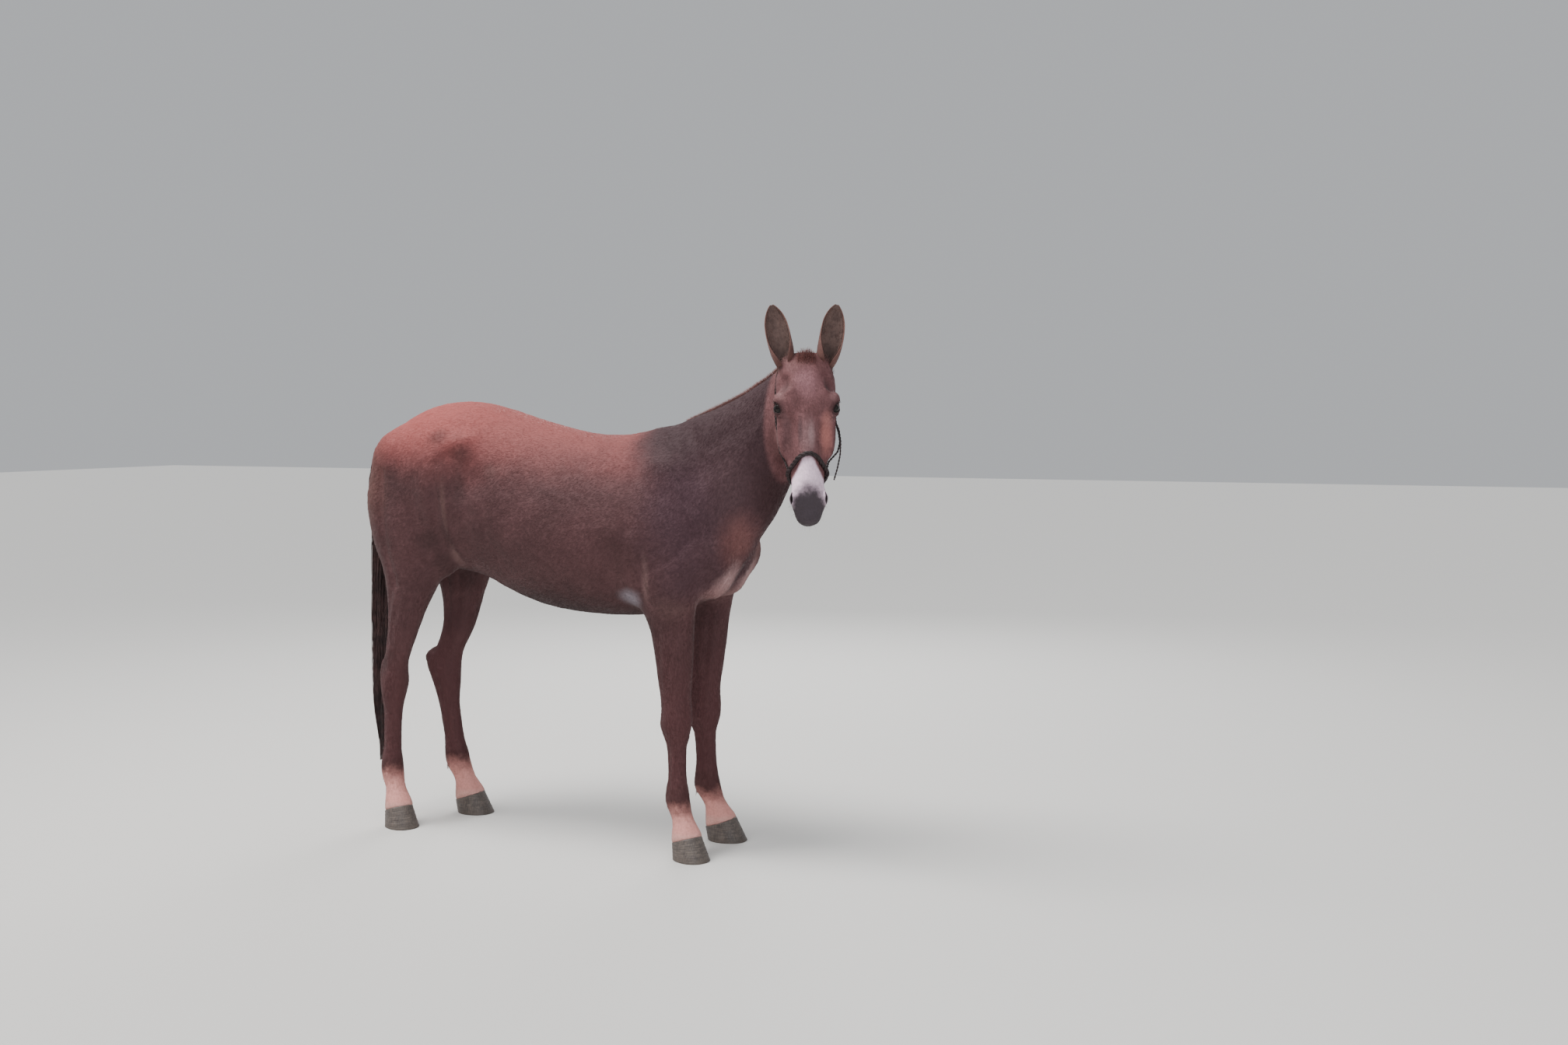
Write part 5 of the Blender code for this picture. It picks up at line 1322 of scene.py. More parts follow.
def hoof_ring(share, grow, lift):
    """One ring of a hoof, at a share of the way down its wall: forward, out and height."""
    angle = np.linspace(0, 2 * math.pi, 72, endpoint=False)
    along = np.sign(np.cos(angle)) * np.abs(np.cos(angle)) ** 0.93
    across = np.sign(np.sin(angle)) * np.abs(np.sin(angle)) ** 0.93
    toe = CORONET_TOE + (SOLE_TOE - CORONET_TOE) * share + grow
    heel = CORONET_HEEL + (SOLE_HEEL - CORONET_HEEL) * share - grow
    wide = CORONET_HALF_WIDTH + SOLE_SPREAD * share + grow
    pinch = 1 - 0.10 * eased((-along - 0.3) / 0.7)
    high_toe, high_heel = CORONET_TOE_HEIGHT * (1 - share), CORONET_HEEL_HEIGHT * (1 - share)
    height = (high_toe + high_heel) / 2 + (high_toe - high_heel) / 2 * along + lift
    return (toe + heel) / 2 + (toe - heel) / 2 * along, wide * across * pinch, np.maximum(height, 0.0)


def hoof_rings():
    """Rings of a hoof from inside the coronet, down the wall, round the edge and into the hollow sole."""
    wall = []
    for step in range(1, 30):
        ripple = 0.00055 * math.sin(step * 2.1) + 0.0003 * math.sin(step * 0.9 + 1)
        wall.append((step / 30, ripple - 0.0006, 0.0))
    return [hoof_ring(*ring) for ring in (*RINGS_IN_CORONET, *wall, *RINGS_ROUND_EDGE, *RINGS_IN_SOLE)]


def horn_paint():
    """Dull horn, streaked down the wall and banded round it."""
    paint = Paint("dull_horn")
    tone = paint.noise(0.030, 4.0, 0.6)
    streak = paint.noise(0.0035, 3.0, 0.6, stretch=(1, 1, 14))
    band = paint.noise(0.0042, 2.0, 0.5, stretch=(9, 9, 1))
    colour = paint.mix(paint.ramp(tone, 0.3, 0.7), (0.058, 0.046, 0.042), (0.105, 0.085, 0.074))
    colour = paint.mix(paint.ramp(streak, 0.42, 0.66) * 0.6, colour, (0.160, 0.128, 0.108))
    colour = paint.mix(paint.ramp(band, 0.45, 0.62) * 0.4, colour, (0.034, 0.027, 0.026))
    _, _, z = paint.parts(paint.places)
    colour = paint.mix(paint.ramp(z + tone * 0.02, 0.034, 0.008) * 0.5, colour, (0.075, 0.058, 0.046))
    normal = paint.bump(band, 0.35, 0.0010, paint.bump(streak, 0.30, 0.0005))
    return paint.close(colour, paint.ramp(tone, 0.3, 0.7, 0.48, 0.68), normal)


class MULE_OT_hooves(bpy.types.Operator):
    """The four hooves, with their growth rings and hollow soles"""

    bl_idname = "mule.hooves"
    bl_label = "Hooves"

    def execute(self, context):
        paint = horn_paint()
        for stance in STANCE:
            shape = bmesh.new()
            loops = [[shape.verts.new(spot) for spot in foot_places(stance, *ring)] for ring in hoof_rings()]
            for before, after in zip(loops, loops[1:]):
                bridge(shape, before, after)
            shape.faces.new(loops[0])
            shape.faces.new(loops[-1])
            node = stance.replace("leg", "hoof")
            hoof = from_shape(f"{node}_horn", shape)
            smooth(hoof)
            finished(hoof, paint, "horn", node)
        return {"FINISHED"}


# The coat


# Which way the hair lies
LIE_ON_TRUNK = (-0.86, 0.0, -0.50)
LIE_ON_NECK = (-0.55, 0.0, -0.83)
LIE_ON_LEGS = (-0.10, 0.0, -0.99)


def lie_of_coat(rows, normals):
    """Which way the hair lies at each place: back and down on the body, down the legs and the face."""
    x, y, z = carried(WHERE.inverted(), rows).T
    neck = (eased((x - 0.30) / 0.25) * eased((z - 0.95) / 0.25))[:, None]
    legs = eased((0.86 - z) / 0.18)[:, None]
    way = np.array(LIE_ON_TRUNK) * (1 - neck) + np.array(LIE_ON_NECK) * neck
    way = way * (1 - legs) + np.array(LIE_ON_LEGS) * legs
    inside = carried(HEAD.inverted(), rows)
    under = -0.32 * eased((-inside[:, 2] - 0.02) / 0.08)
    face = turned(HEAD, np.stack([np.ones(len(x)), np.zeros(len(x)), under], axis=1))
    head = is_head(rows).astype(float)[:, None]
    way = way * (1 - head) + face * head
    way += 0.10 * np.stack([np.sin(z * 23 + y * 9), np.sin(x * 17 + z * 11), np.sin(x * 21 - z * 13)], axis=1)
    way -= normals * (way * normals).sum(axis=1, keepdims=True)
    return unit(way)


# Each coat piece: how far it reaches (x from, x to, height from, height to), tufts a square metre,
# their length, width and lift
COAT_PIECES = {
    "coat_rump": ((-2.0, -0.30, 0.80, 2.0), 47000, 0.0125, 0.0025, 0.16),
    "coat_barrel": ((-0.30, 0.24, 0.70, 2.0), 49000, 0.0125, 0.0025, 0.15),
    "coat_shoulder": ((0.24, 2.0, 0.80, 2.0), 52000, 0.0115, 0.0024, 0.15),
    "coat_fore_legs": ((0.0, 2.0, 0.0, 0.80), 90000, 0.0085, 0.0017, 0.18),
    "coat_hind_legs": ((-2.0, 0.0, 0.0, 0.80), 90000, 0.0085, 0.0017, 0.18),
    "coat_head": ((0.0, 2.0, 0.0, 2.0), 160000, 0.0058, 0.0013, 0.16),
}
# A tuft's four faces, where its corners lie on the unwrap, how deep it is rooted, and how many
# tufts one piece may have
TUFT = ((0, 2, 1), (1, 2, 3), (3, 2, 0), (0, 1, 3))
TUFT_UNWRAPPED = ((-0.0013, -0.0013), (0.0013, -0.0013), (0.0, 0.0002), (0.0, 0.0015))
TUFT_DEPTH = 0.0004
MOST_TUFTS = 49500


class CoatSizes(bpy.types.PropertyGroup):
    share: bpy.props.FloatProperty(
        name="Fullness", description="How many of the tufts are made", default=1.0, min=0.05, max=1.2
    )
    length: bpy.props.FloatProperty(
        name="Length", description="The tufts' length against their usual one", default=1.0, min=0.3, max=2.0
    )


def unwrap_spots(name, rows):
    """Where each tuft's root lies on an unwrap of its piece: along it and round it."""
    here = carried(WHERE.inverted(), rows)
    if name == "coat_head":
        here = carried(HEAD.inverted(), rows)
        along, round_it = here[:, 0], np.arctan2(here[:, 1], here[:, 2] + 0.10)
    elif "legs" in name:
        fore = "fore" in name
        round_it = np.zeros(len(rows))
        for stance, (kind, side, *_) in STANCE.items():
            if (kind == "fore") == fore:
                near = here[:, 1] * side > 0
                places = leg_places(stance, rows[near])
                round_it[near] = np.arctan2(places[:, 1], places[:, 0]) / 2 + side * math.pi / 2
        along = here[:, 2]
    else:
        along, round_it = here[:, 0], np.arctan2(here[:, 1], here[:, 2] - 1.12)
    share = (along - along.min()) / (along.max() - along.min())
    return np.stack([0.01 + 0.98 * share, 0.5 + round_it / (2 * math.pi) * 0.98], axis=1)


def spread_roots(places, normals, faces, per_metre, chance):
    """Random places on triangles, as many a square metre as asked, with the skin's normals there."""
    a, b, c = (places[faces[:, k]] for k in range(3))
    area = np.linalg.norm(np.cross(b - a, c - a), axis=1) / 2
    count = min(int(area.sum() * per_metre), MOST_TUFTS)
    chosen = np.searchsorted(np.cumsum(area), chance.uniform(0, area.sum(), count))
    chosen = faces[np.minimum(chosen, len(faces) - 1)]
    u, v = chance.uniform(0, 1, (2, count))
    over = u + v > 1
    u[over], v[over] = 1 - u[over], 1 - v[over]
    weights = np.stack([1 - u - v, u, v], axis=1)[..., None]
    return (places[chosen] * weights).sum(axis=1), unit((normals[chosen] * weights).sum(axis=1))


def wanted_faces(name, skin_data):
    """The skin's triangles on which one coat piece grows."""
    places, _, corners, dark, on_head = skin_data
    back, front, low, high = COAT_PIECES[name][0]
    middle = places[corners].mean(axis=1)
    x, z = middle[:, 0] - WHERE.translation.x, middle[:, 2]
    wanted = (x >= back) & (x < front) & (z >= low) & (z < high)
    wanted &= on_head if name == "coat_head" else ~on_head
    return corners[wanted & (dark[corners].max(axis=1) < 0.25)]


def grow_coat(name, skin_data, sizes, chance):
    """One coat piece: short closed tufts of four triangles, shaded as the skin under them."""
    _, per_metre, length, width, lift = COAT_PIECES[name]
    faces = wanted_faces(name, skin_data)
    root, out = spread_roots(*skin_data[:2], faces, per_metre * sizes.share, chance)
    count = len(root)
    way = lie_of_coat(root, out)
    way = unit(way + np.cross(out, way) * chance.normal(0, 0.16, (count, 1)))
    across = np.cross(out, way)
    small = np.ones((count, 1))
    if name == "coat_head":
        down = carried(HEAD.inverted(), root)[:, :1]
        small = 1.0 - 0.40 * eased((down - 0.36) / 0.12)
    if "legs" in name:
        small = 1.0 - 0.25 * eased((0.30 - root[:, 2:3]) / 0.2)
    long = length * sizes.length * small * chance.uniform(0.75, 1.25, (count, 1))
    wide = width * small * chance.uniform(0.8, 1.2, (count, 1))
    rise = lift * chance.uniform(0.4, 1.3, (count, 1))
    base = root - out * TUFT_DEPTH
    middle = root + way * long * 0.45 + out * (long * 0.45 * rise + TUFT_DEPTH)
    tip = root + way * long + out * long * rise * 0.55
    points = np.stack([base - across * wide / 2, base + across * wide / 2, middle, tip], axis=1)
    first = (np.arange(count) * 4)[:, None]
    corners = np.concatenate([first + np.array([face]) for face in TUFT])
    piece = from_arrays(name, points.reshape(-1, 3), corners)
    spots = unwrap_spots(name, root)[:, None] + np.array(TUFT_UNWRAPPED)
    index = read(piece.data.loops, "vertex_index", 1, np.int32)[:, 0]
    unwrap = piece.data.uv_layers.new(name="OFBake")
    unwrap.data.foreach_set("uv", spots.reshape(-1, 2)[index].astype(np.float32).ravel())
    smooth(piece)
    shade = unit(out + way * 0.10 + chance.normal(0, 0.09, (count, 3)))
    piece.data.normals_split_custom_set_from_vertices(np.repeat(shade, 4, axis=0).astype(np.float32).tolist())
    return piece


class MULE_OT_coat(bpy.types.Operator):
    """The short coat, in tufts that lie along the body"""

    bl_idname = "mule.coat"
    bl_label = "Coat"

    def execute(self, context):
        mesh = bpy.data.objects["skin"].data
        corners = corners_of(mesh)
        places = points_of(mesh)
        dark = read(mesh.attributes["dark"].data, "value", 1)[:, 0]
        skin_data = (places, normals_of(mesh), corners, dark, is_head(places[corners].mean(axis=1)))
        paint = coat_paint("coat_on_tufts", context.scene.mule_skin, skin=False)
        chance = np.random.default_rng(SEED + 5)
        for name in COAT_PIECES:
            finished(grow_coat(name, skin_data, context.scene.mule_coat, chance), paint, "coat")
        return {"FINISHED"}


# Tail, mane and finer hair


def crest_lines(tree, count):
    """Points of the crest with the way that they face, from the withers to the poll."""
    found = []
    for row in through([(*crest, *under) for crest, under in CREST], count):
        top, low = WHERE @ Vector(row[0:3]), WHERE @ Vector(row[3:6])
        out = (top - low).normalized()
        hit = tree.ray_cast(top + out * 0.15, -out)[0]
        found.append((*(hit or top), *out))
    return np.array(found)


TAIL_STEPS = 120
DOCK_STRANDS = 340
TAIL_ROOT_DEPTH = 0.062
EAR_HAIR_DEPTH = 0.0052


class HairSizes(bpy.types.PropertyGroup):
    tail_strands: bpy.props.IntProperty(
        name="Tail strands", description="Strands in the tail", default=1500, min=2 * DOCK_STRANDS
    )
    mane_height: bpy.props.FloatProperty(
        name="Mane height", description="Height of the roached mane", default=0.0095, unit="LENGTH"
    )


def hair_paint(name, dark, light, roughness=0.5):
    """Coarse hair: its colour runs from dark to light between strands and patches."""
    paint = Paint(name)
    patch = paint.noise(0.05, 3.0, 0.6)
    strand = paint.noise(0.0022, 2.0, 0.6, stretch=(1, 1, 12))
    colour = paint.mix(paint.ramp(patch * 0.5 + strand * 0.5, 0.40, 0.62), dark, light)
    return paint.close(colour, roughness, paint.bump(strand, 0.4, 0.0006), Sheen_Weight=0.05)


def tail_lines(chance, count):
    """The tail's strands, first those on its dock: their points and the radius at each point."""
    line = through([(x, 0, z, depth, width) for x, z, depth, width in TAIL_LINE], TAIL_STEPS)
    start = chance.uniform(0.0, 0.60, count)
    end = np.clip(start + chance.uniform(0.30, 0.75, count), 0.0, 1.06)
    around = chance.uniform(0, 2 * math.pi, count)
    bow = chance.uniform(0.50, 1.10, count)
    dock = slice(0, DOCK_STRANDS)
    start[dock] = chance.uniform(0.0, 0.03, DOCK_STRANDS)
    end[dock] = start[dock] + chance.uniform(0.06, 0.19, DOCK_STRANDS)
    bow[dock] = chance.uniform(0.95, 1.14, DOCK_STRANDS)
    sway = chance.normal(0, 0.22, count)
    step = np.linspace(0, 1, 16)[None]
    share = start[:, None] + (end - start)[:, None] * step
    x, _, z, depth, width = along_rows(np.clip(share * (len(line) - 1), 0, len(line) - 1), line)
    beyond = np.maximum(0.0, share - 1.0) * (TAIL_LINE[0][1] - TAIL_LINE[-1][1])
    angle = around[:, None] + sway[:, None] * np.sin(math.pi * step)
    reach = 0.55 + (bow[:, None] - 0.55) * np.sin(math.pi * np.minimum(1.0, step * 1.25) / 2)
    reach = reach * (0.05 + 0.95 * eased(share / 0.05))
    locks = np.round(around * 3) * 1.7
    wave = 0.0035 * np.sin(share * 17 + locks[:, None])
    rooted = 1.0 - eased(share / 0.07)
    x = x + TAIL_ROOT_DEPTH * rooted - np.cos(angle) * depth * reach
    z = z - beyond + 0.006 * rooted
    lines = np.stack([x, np.sin(angle) * width * reach + wave, z], axis=-1)
    radius = chance.uniform(0.0010, 0.0022, count)[:, None] * (1 - 0.85 * step**2)
    return carried(WHERE, lines), radius


class MULE_OT_tail(bpy.types.Operator):
    """The hanging tail, of many tapered strands round a core"""

    bl_idname = "mule.tail"
    bl_label = "Tail"

    def execute(self, context):
        lines, radius = tail_lines(np.random.default_rng(SEED), context.scene.mule_hair.tail_strands)
        core = through([(x, 0, z, depth) for x, z, depth, _ in TAIL_LINE], TAIL_STEPS)[6:112:5]
        core_lines, core_radius = carried(WHERE, core[None, :, :3]), core[None, :, 3] * 0.62
        top = strands("tail_dock_hair", lines[:DOCK_STRANDS], radius[:DOCK_STRANDS])
        hair = strands("tail_hair", lines[DOCK_STRANDS:], radius[DOCK_STRANDS:])
        under = strands("tail_core", core_lines, core_radius, sides=12, flat=1.0)
        for piece in (top, hair, under):
            smooth(piece)
        paint = hair_paint("dock_strands", (0.060, 0.024, 0.023), (0.150, 0.062, 0.056), 0.7)
        finished(top, paint, "hair")
        paint = hair_paint("tail_strands", (0.030, 0.014, 0.015), (0.105, 0.050, 0.048))
        finished(hair, paint, "hair", "tail")
        # The core is painted near black: painted shade inside the tail, between its strands.
        paint = hair_paint("tail_core_painted_shade", (0.016, 0.009, 0.009), (0.034, 0.018, 0.018))
        finished(under, paint, "hair")
        return {"FINISHED"}


def curved(root, way, bend, length):
    """Lines that leave their roots one way and bend another."""
    step = np.linspace(0, 1, 6)[None, :, None]
    return root[:, None] + length[:, None] * (way[:, None] * step + bend[:, None] * step**2)


def mane_lines(chance, crest, count, height):
    """The mane's bristles: they stand up from the crest and grow longer from the withers on."""
    spot = chance.uniform(0, len(crest) - 1, count)
    rows = np.stack(along_rows(spot, crest), axis=1)
    root, out = rows[:, :3], unit(rows[:, 3:])
    side = np.array([[0.0, 1.0, 0.0]]) * chance.normal(0, 0.0048, (count, 1))
    root = root + side - out * (0.002 + np.abs(side[:, 1:2]) * 0.35)
    grown = 0.25 + 0.75 * eased(spot / (len(crest) * 0.35))[:, None]
    height = height * chance.uniform(0.5, 1.1, (count, 1)) * grown
    lean = side * 0.6 + chance.normal(0, 0.0022, (count, 3)) - np.array([[0.003, 0, 0]])
    step = np.linspace(0, 1, 4)[None, :, None]
    lines = root[:, None] + out[:, None] * (height + 0.004)[:, None] * step + lean[:, None] * step**2
    return lines, 0.0008 * np.ones((count, 1)) * (1 - 0.8 * step[..., 0])


def forelock_lines(chance, count):
    """The forelock's short hairs, fanned back over the poll."""
    spread = chance.uniform(-1, 1, count)
    down, out = chance.uniform(0.030, 0.075, count), chance.uniform(-0.036, -0.010, count)
    root = np.stack([down, spread * 0.026, out], axis=1)
    aside, rise = spread * 0.4 + chance.normal(0, 0.16, count), chance.uniform(-0.1, 0.7, count)
    way = unit(np.stack([-np.ones(count), aside, rise], axis=1))
    length = chance.uniform(0.018, 0.042, (count, 1)) * (1 - 0.45 * np.abs(spread[:, None]))
    lines = curved(root, way, np.array([[0.175, 0.0, 0.150]]), length)
    step = np.linspace(0, 1, 6)[None]
    return carried(HEAD, lines), 0.0008 * np.ones((count, 1)) * (1 - 0.85 * step**2)


class MULE_OT_mane(bpy.types.Operator):
    """The clipped mane along the crest and the short forelock"""

    bl_idname = "mule.mane"
    bl_label = "Mane and forelock"

    def execute(self, context):
        chance = np.random.default_rng(SEED + 1)
        crest = crest_lines(tree_of(bpy.data.objects["skin"]), 160)
        height = context.scene.mule_hair.mane_height
        mane = strands("mane_bristle", *mane_lines(chance, crest, 5200, height))
        paint = hair_paint("mane_hair", (0.120, 0.048, 0.044), (0.240, 0.100, 0.088), 0.7)
        finished(mane, paint, "hair", "mane")
        lock = strands("forelock_hair", *forelock_lines(chance, 1300))
        paint = hair_paint("forelock_strands", (0.085, 0.026, 0.024), (0.250, 0.085, 0.075), 0.7)
        finished(lock, paint, "hair", "forelock")
        return {"FINISHED"}


def lash_lines(chance, side, count=90):
    """Lashes along one upper lid."""
    angle = chance.uniform(0.35, math.pi - 0.30, count)
    flat = lid_edge(angle)
    root = np.column_stack([flat, ball_height(flat, *LID_BALL) - 0.0006])
    way = np.column_stack([0.5 * np.cos(angle), np.full(count, 0.30), np.full(count, 0.9)])
    way = unit(way + chance.normal(0, 0.10, (count, 3)))
    lines = curved(root, way, np.array([[0.0, -0.35, 0.0]]), chance.uniform(0.007, 0.013, (count, 1)))
    return carried(eye_frame(side), lines)


def whisker_lines(chance, tree, tries=150):
    """Whiskers that stand out of the muzzle."""
    start = Vector((0.500, 0.0, -0.068))
    found = []
    for _ in range(tries):
        angle = chance.uniform(-2.4, 2.4)
        way = Vector((math.cos(angle) * 0.9, math.sin(angle), chance.uniform(-0.9, 0.35))).normalized()
        hit, normal, *_ = tree.ray_cast(HEAD @ (start + way * 0.2), HEAD.to_3x3() @ -way)
        if hit and (HEAD.inverted() @ hit).x > 0.485:
            found.append((*hit, *normal))
    out = np.array(found)[:, 3:]
    root = np.array(found)[:, :3] - out * 0.001
    way = unit(out + chance.normal(0, 0.2, out.shape))
    bend = turned(HEAD, np.array([[0.25, 0.0, -0.1]]))
    return curved(root, way, bend, chance.uniform(0.008, 0.022, (len(root), 1)))


def ear_hair_lines(chance, side, length, count=700):
    """Hair inside one ear's cup, most of it along the rim."""
    up, opens = (np.array(axis) for axis in ear_axes(side)[:2])
    across = np.cross(up, opens)
    share = chance.uniform(0.10, 0.93, count)
    cup = np.array(EAR_CUP)
    radius = np.interp(share, cup[:, 0], cup[:, 1]) - EAR_HAIR_DEPTH
    half = np.radians(np.interp(share, cup[:, 0], cup[:, 2]))
    on_rim = chance.uniform(size=count) < 0.6
    rim = np.sign(chance.uniform(-1, 1, count)) * chance.uniform(0.82, 1.0, count)
    turn = np.where(on_rim, rim, chance.uniform(-1, 1, count))
    centre = np.array(mirrored(EAR_ROOT, side)) + up * (share * length)[:, None]
    centre = centre + opens * (radius * 0.55)[:, None]
    arm = across * np.sin(half * turn)[:, None] - opens * np.cos(half * turn)[:, None]
    way = unit(up * 0.75 + opens * 0.45 - arm * 0.35 + chance.normal(0, 0.14, (count, 3)))
    long = chance.uniform(0.006, 0.013, (count, 1)) * (1 - 0.4 * share[:, None])
    return carried(HEAD, curved(centre + arm * radius[:, None], way, up[None] * 0.3, long))


def ear_root_lines(chance, tree, side, tries=520):
    """Hair of the head that stands round the root of one ear."""
    up, opens = (np.array(axis) for axis in ear_axes(side)[:2])
    across = np.cross(up, opens)
    found = []
    for _ in range(tries):
        angle, reach = chance.uniform(-math.pi, math.pi), chance.uniform(0.014, 0.034)
        spot = reach * (opens * math.cos(angle) + across * math.sin(angle))
        start = HEAD @ Vector(np.array(mirrored(EAR_ROOT, side)) + spot + up * 0.07)
        hit, normal, *_ = tree.ray_cast(start, HEAD.to_3x3() @ Vector(-up), 0.12)
        if hit:
            root, out = HEAD.inverted() @ hit, HEAD.to_3x3().inverted() @ normal
            way = unit(np.array([up * 0.9 + np.array(out) * 0.35]) + chance.normal(0, 0.12, (1, 3)))
            root = np.array([root - out * 0.001])
            found.append(curved(root, way, -0.15 * opens[None], chance.uniform(0.008, 0.018, (1, 1))))
    return carried(HEAD, np.concatenate(found))


def fetlock_lines(chance, stance, count=260):
    """The tuft behind one fetlock."""
    angle = chance.normal(math.pi, 0.75, count)
    height = chance.uniform(0.168, 0.222, count)
    root = foot_places(stance, -0.010 + 0.030 * np.cos(angle), 0.026 * np.sin(angle), height)
    way = unit(np.column_stack([np.cos(angle) * 0.35, np.sin(angle) * 0.25, np.full(count, -0.9)]))
    return curved(root, way, np.array([[0.0, 0.0, -0.3]]), chance.uniform(0.009, 0.020, (count, 1)))


def fine_piece(name, lines, radius, paint):
    """One piece of short hairs that taper from their roots to their tips."""
    lines = np.concatenate(lines)
    taper = 1 - 0.8 * np.linspace(0, 1, lines.shape[1])[None]
    finished(strands(name, lines, np.full((len(lines), 1), radius) * taper), paint, "hair")


class MULE_OT_fine_hair(bpy.types.Operator):
    """Lashes, whiskers, the hair in the ears and the tufts behind the fetlocks"""

    bl_idname = "mule.fine_hair"
    bl_label = "Lashes, whiskers and tufts"

    def execute(self, context):
        chance = np.random.default_rng(SEED + 3)
        tree = tree_of(bpy.data.objects["skin"])
        dark = hair_paint("dark_fine_hair", (0.014, 0.010, 0.010), (0.030, 0.020, 0.018))
        fine_piece("lashes", [lash_lines(chance, side) for side in (-1, 1)], 0.00028, dark)
        fine_piece("whiskers", [whisker_lines(chance, tree)], 0.00022, dark)
        lines = []
        for side in (-1, 1):
            lines.append(ear_hair_lines(chance, side, context.scene.mule_ears.length))
            lines.append(ear_root_lines(chance, tree, side))
        paint = hair_paint("ear_hair", (0.070, 0.034, 0.030), (0.180, 0.085, 0.070), 0.7)
        fine_piece("ear_hair", lines, 0.00045, paint)
        paint = hair_paint("fetlock_hair", (0.150, 0.062, 0.056), (0.330, 0.150, 0.135), 0.7)
        fine_piece("fetlock_tufts", [fetlock_lines(chance, stance) for stance in STANCE], 0.0007, paint)
        return {"FINISHED"}


# The halter


# Places on the head, in its own frame: the noseband's top and heel, and down the face and out of
# it, where the headstall leaves the noseband, where it turns up to the crown, and the crown
BAND_TOP = (0.352, 0.0, 0.0)
BAND_HEEL = (0.452, 0.0, -0.150)
CHEEK_LOW = (0.360, -0.086)
CHEEK_HIGH = (0.10, -0.122)
CROWN = (0.09, 0, -0.122)
# How far the headstall stands off the left cheek, and the end that hangs loose there
LEFT_SLACK = 0.020
LOOSE_END = (
    (0.236, 0.094, -0.070),
    (0.262, 0.103, -0.064),
    (0.300, 0.107, -0.060),
    (0.345, 0.104, -0.058),
    (0.388, 0.094, -0.058),
    (0.424, 0.083, -0.060),
)
CORD_STEP = 0.0028


class HalterSizes(bpy.types.PropertyGroup):
    band: bpy.props.FloatProperty(
        name="Noseband", description="Radius of the rolled noseband", default=0.0076, unit="LENGTH"
    )
    strap: bpy.props.FloatProperty(
        name="Strap", description="Radius of the thin headstall", default=0.0034, unit="LENGTH"
    )


def noseband_points(tree, sizes, count=72):
    """Points of the noseband: a ring on the nose that slopes back to a heel under the jaw."""
    top, heel = Vector(BAND_TOP), Vector(BAND_HEEL)
    first = Vector((0, 1, 0))
    facing = (heel - top).cross(first).normalized()
    second = facing.cross(first)
    centre = top.lerp(heel, 0.42)
    found = []
    for k in range(count):
        angle = 2 * math.pi * k / count
        way = first * math.cos(angle) + second * math.sin(angle)
        hit = tree.ray_cast(HEAD @ (centre + way * 0.3), HEAD.to_3x3() @ -way)[0]
        found.append(hit + HEAD.to_3x3() @ way * (sizes.band + 0.0002))
    return found


def headstall_points(tree, on_nose, sizes):
    """Points of the headstall: up the left cheek, behind the ears, and down the right."""
    cheeks = []
    for side in (1, -1):
        cheek = []
        for share in np.arange(9) / 8:
            down = CHEEK_LOW[0] + (CHEEK_HIGH[0] - CHEEK_LOW[0]) * share
            level = CHEEK_LOW[1] + (CHEEK_HIGH[1] - CHEEK_LOW[1]) * float(eased(share * 1.4))
            slack = LEFT_SLACK * math.sin(math.pi * min(1.0, share * 1.9)) if side > 0 else 0.0
            cheek.append((Vector((down, 0, level)), Vector((0, side, 0)), slack))
        cheeks.append(cheek)
    crown = []
    for angle in np.radians(np.linspace(8, 172, 20)):
        crown.append((Vector(CROWN), Vector((-math.sin(angle), math.cos(angle), 0)), 0.0))
    found = [on_nose[0]]
    for centre, way, slack in (*cheeks[0], *crown, *reversed(cheeks[1])):
        out = HEAD.to_3x3() @ way
        hit = tree.ray_cast(HEAD @ (centre + way * 0.3), -out)[0]
        found.append(hit + out * (sizes.strap + 0.0004 + slack))
    return [*found, on_nose[len(on_nose) // 2]]


def tube(name, points, radius, cyclic):
    """A round tube along the points, as one closed mesh."""
    curve = bpy.data.curves.new(name, "CURVE")
    curve.dimensions = "3D"
    curve.bevel_depth = radius
    curve.bevel_resolution = 4
    curve.use_fill_caps = not cyclic
    line = curve.splines.new("POLY")
    line.points.add(len(points) - 1)
    for place, point in zip(line.points, points):
        place.co = (*point, 1.0)
    line.use_cyclic_u = cyclic
    pick(add_object(name, curve))
    bpy.ops.object.convert(target="MESH")
    thing = bpy.context.object
    pick(thing)
    bpy.ops.object.mode_set(mode="EDIT")
    bpy.ops.mesh.select_all(action="SELECT")
    bpy.ops.mesh.remove_doubles(threshold=0.00001)
    bpy.ops.mesh.normals_make_consistent(inside=False)
    bpy.ops.object.mode_set(mode="OBJECT")
    return thing


def leather_paint():
    """Worn dark leather, paler where it rubs."""
    paint = Paint("worn_leather")
    patch = paint.noise(0.020, 4.0, 0.65)
    grain = paint.noise(0.0016, 3.0, 0.6)
    colour = paint.mix(paint.ramp(patch, 0.35, 0.65), (0.012, 0.007, 0.008), (0.030, 0.017, 0.018))
    colour = paint.mix(paint.ramp(grain, 0.55, 0.75) * 0.4, colour, (0.060, 0.038, 0.036))
    rough = paint.ramp(patch, 0.3, 0.7, 0.42, 0.65)
    return paint.close(colour, rough, paint.bump(grain, 0.5, 0.0005), Specular_IOR_Level=0.3)


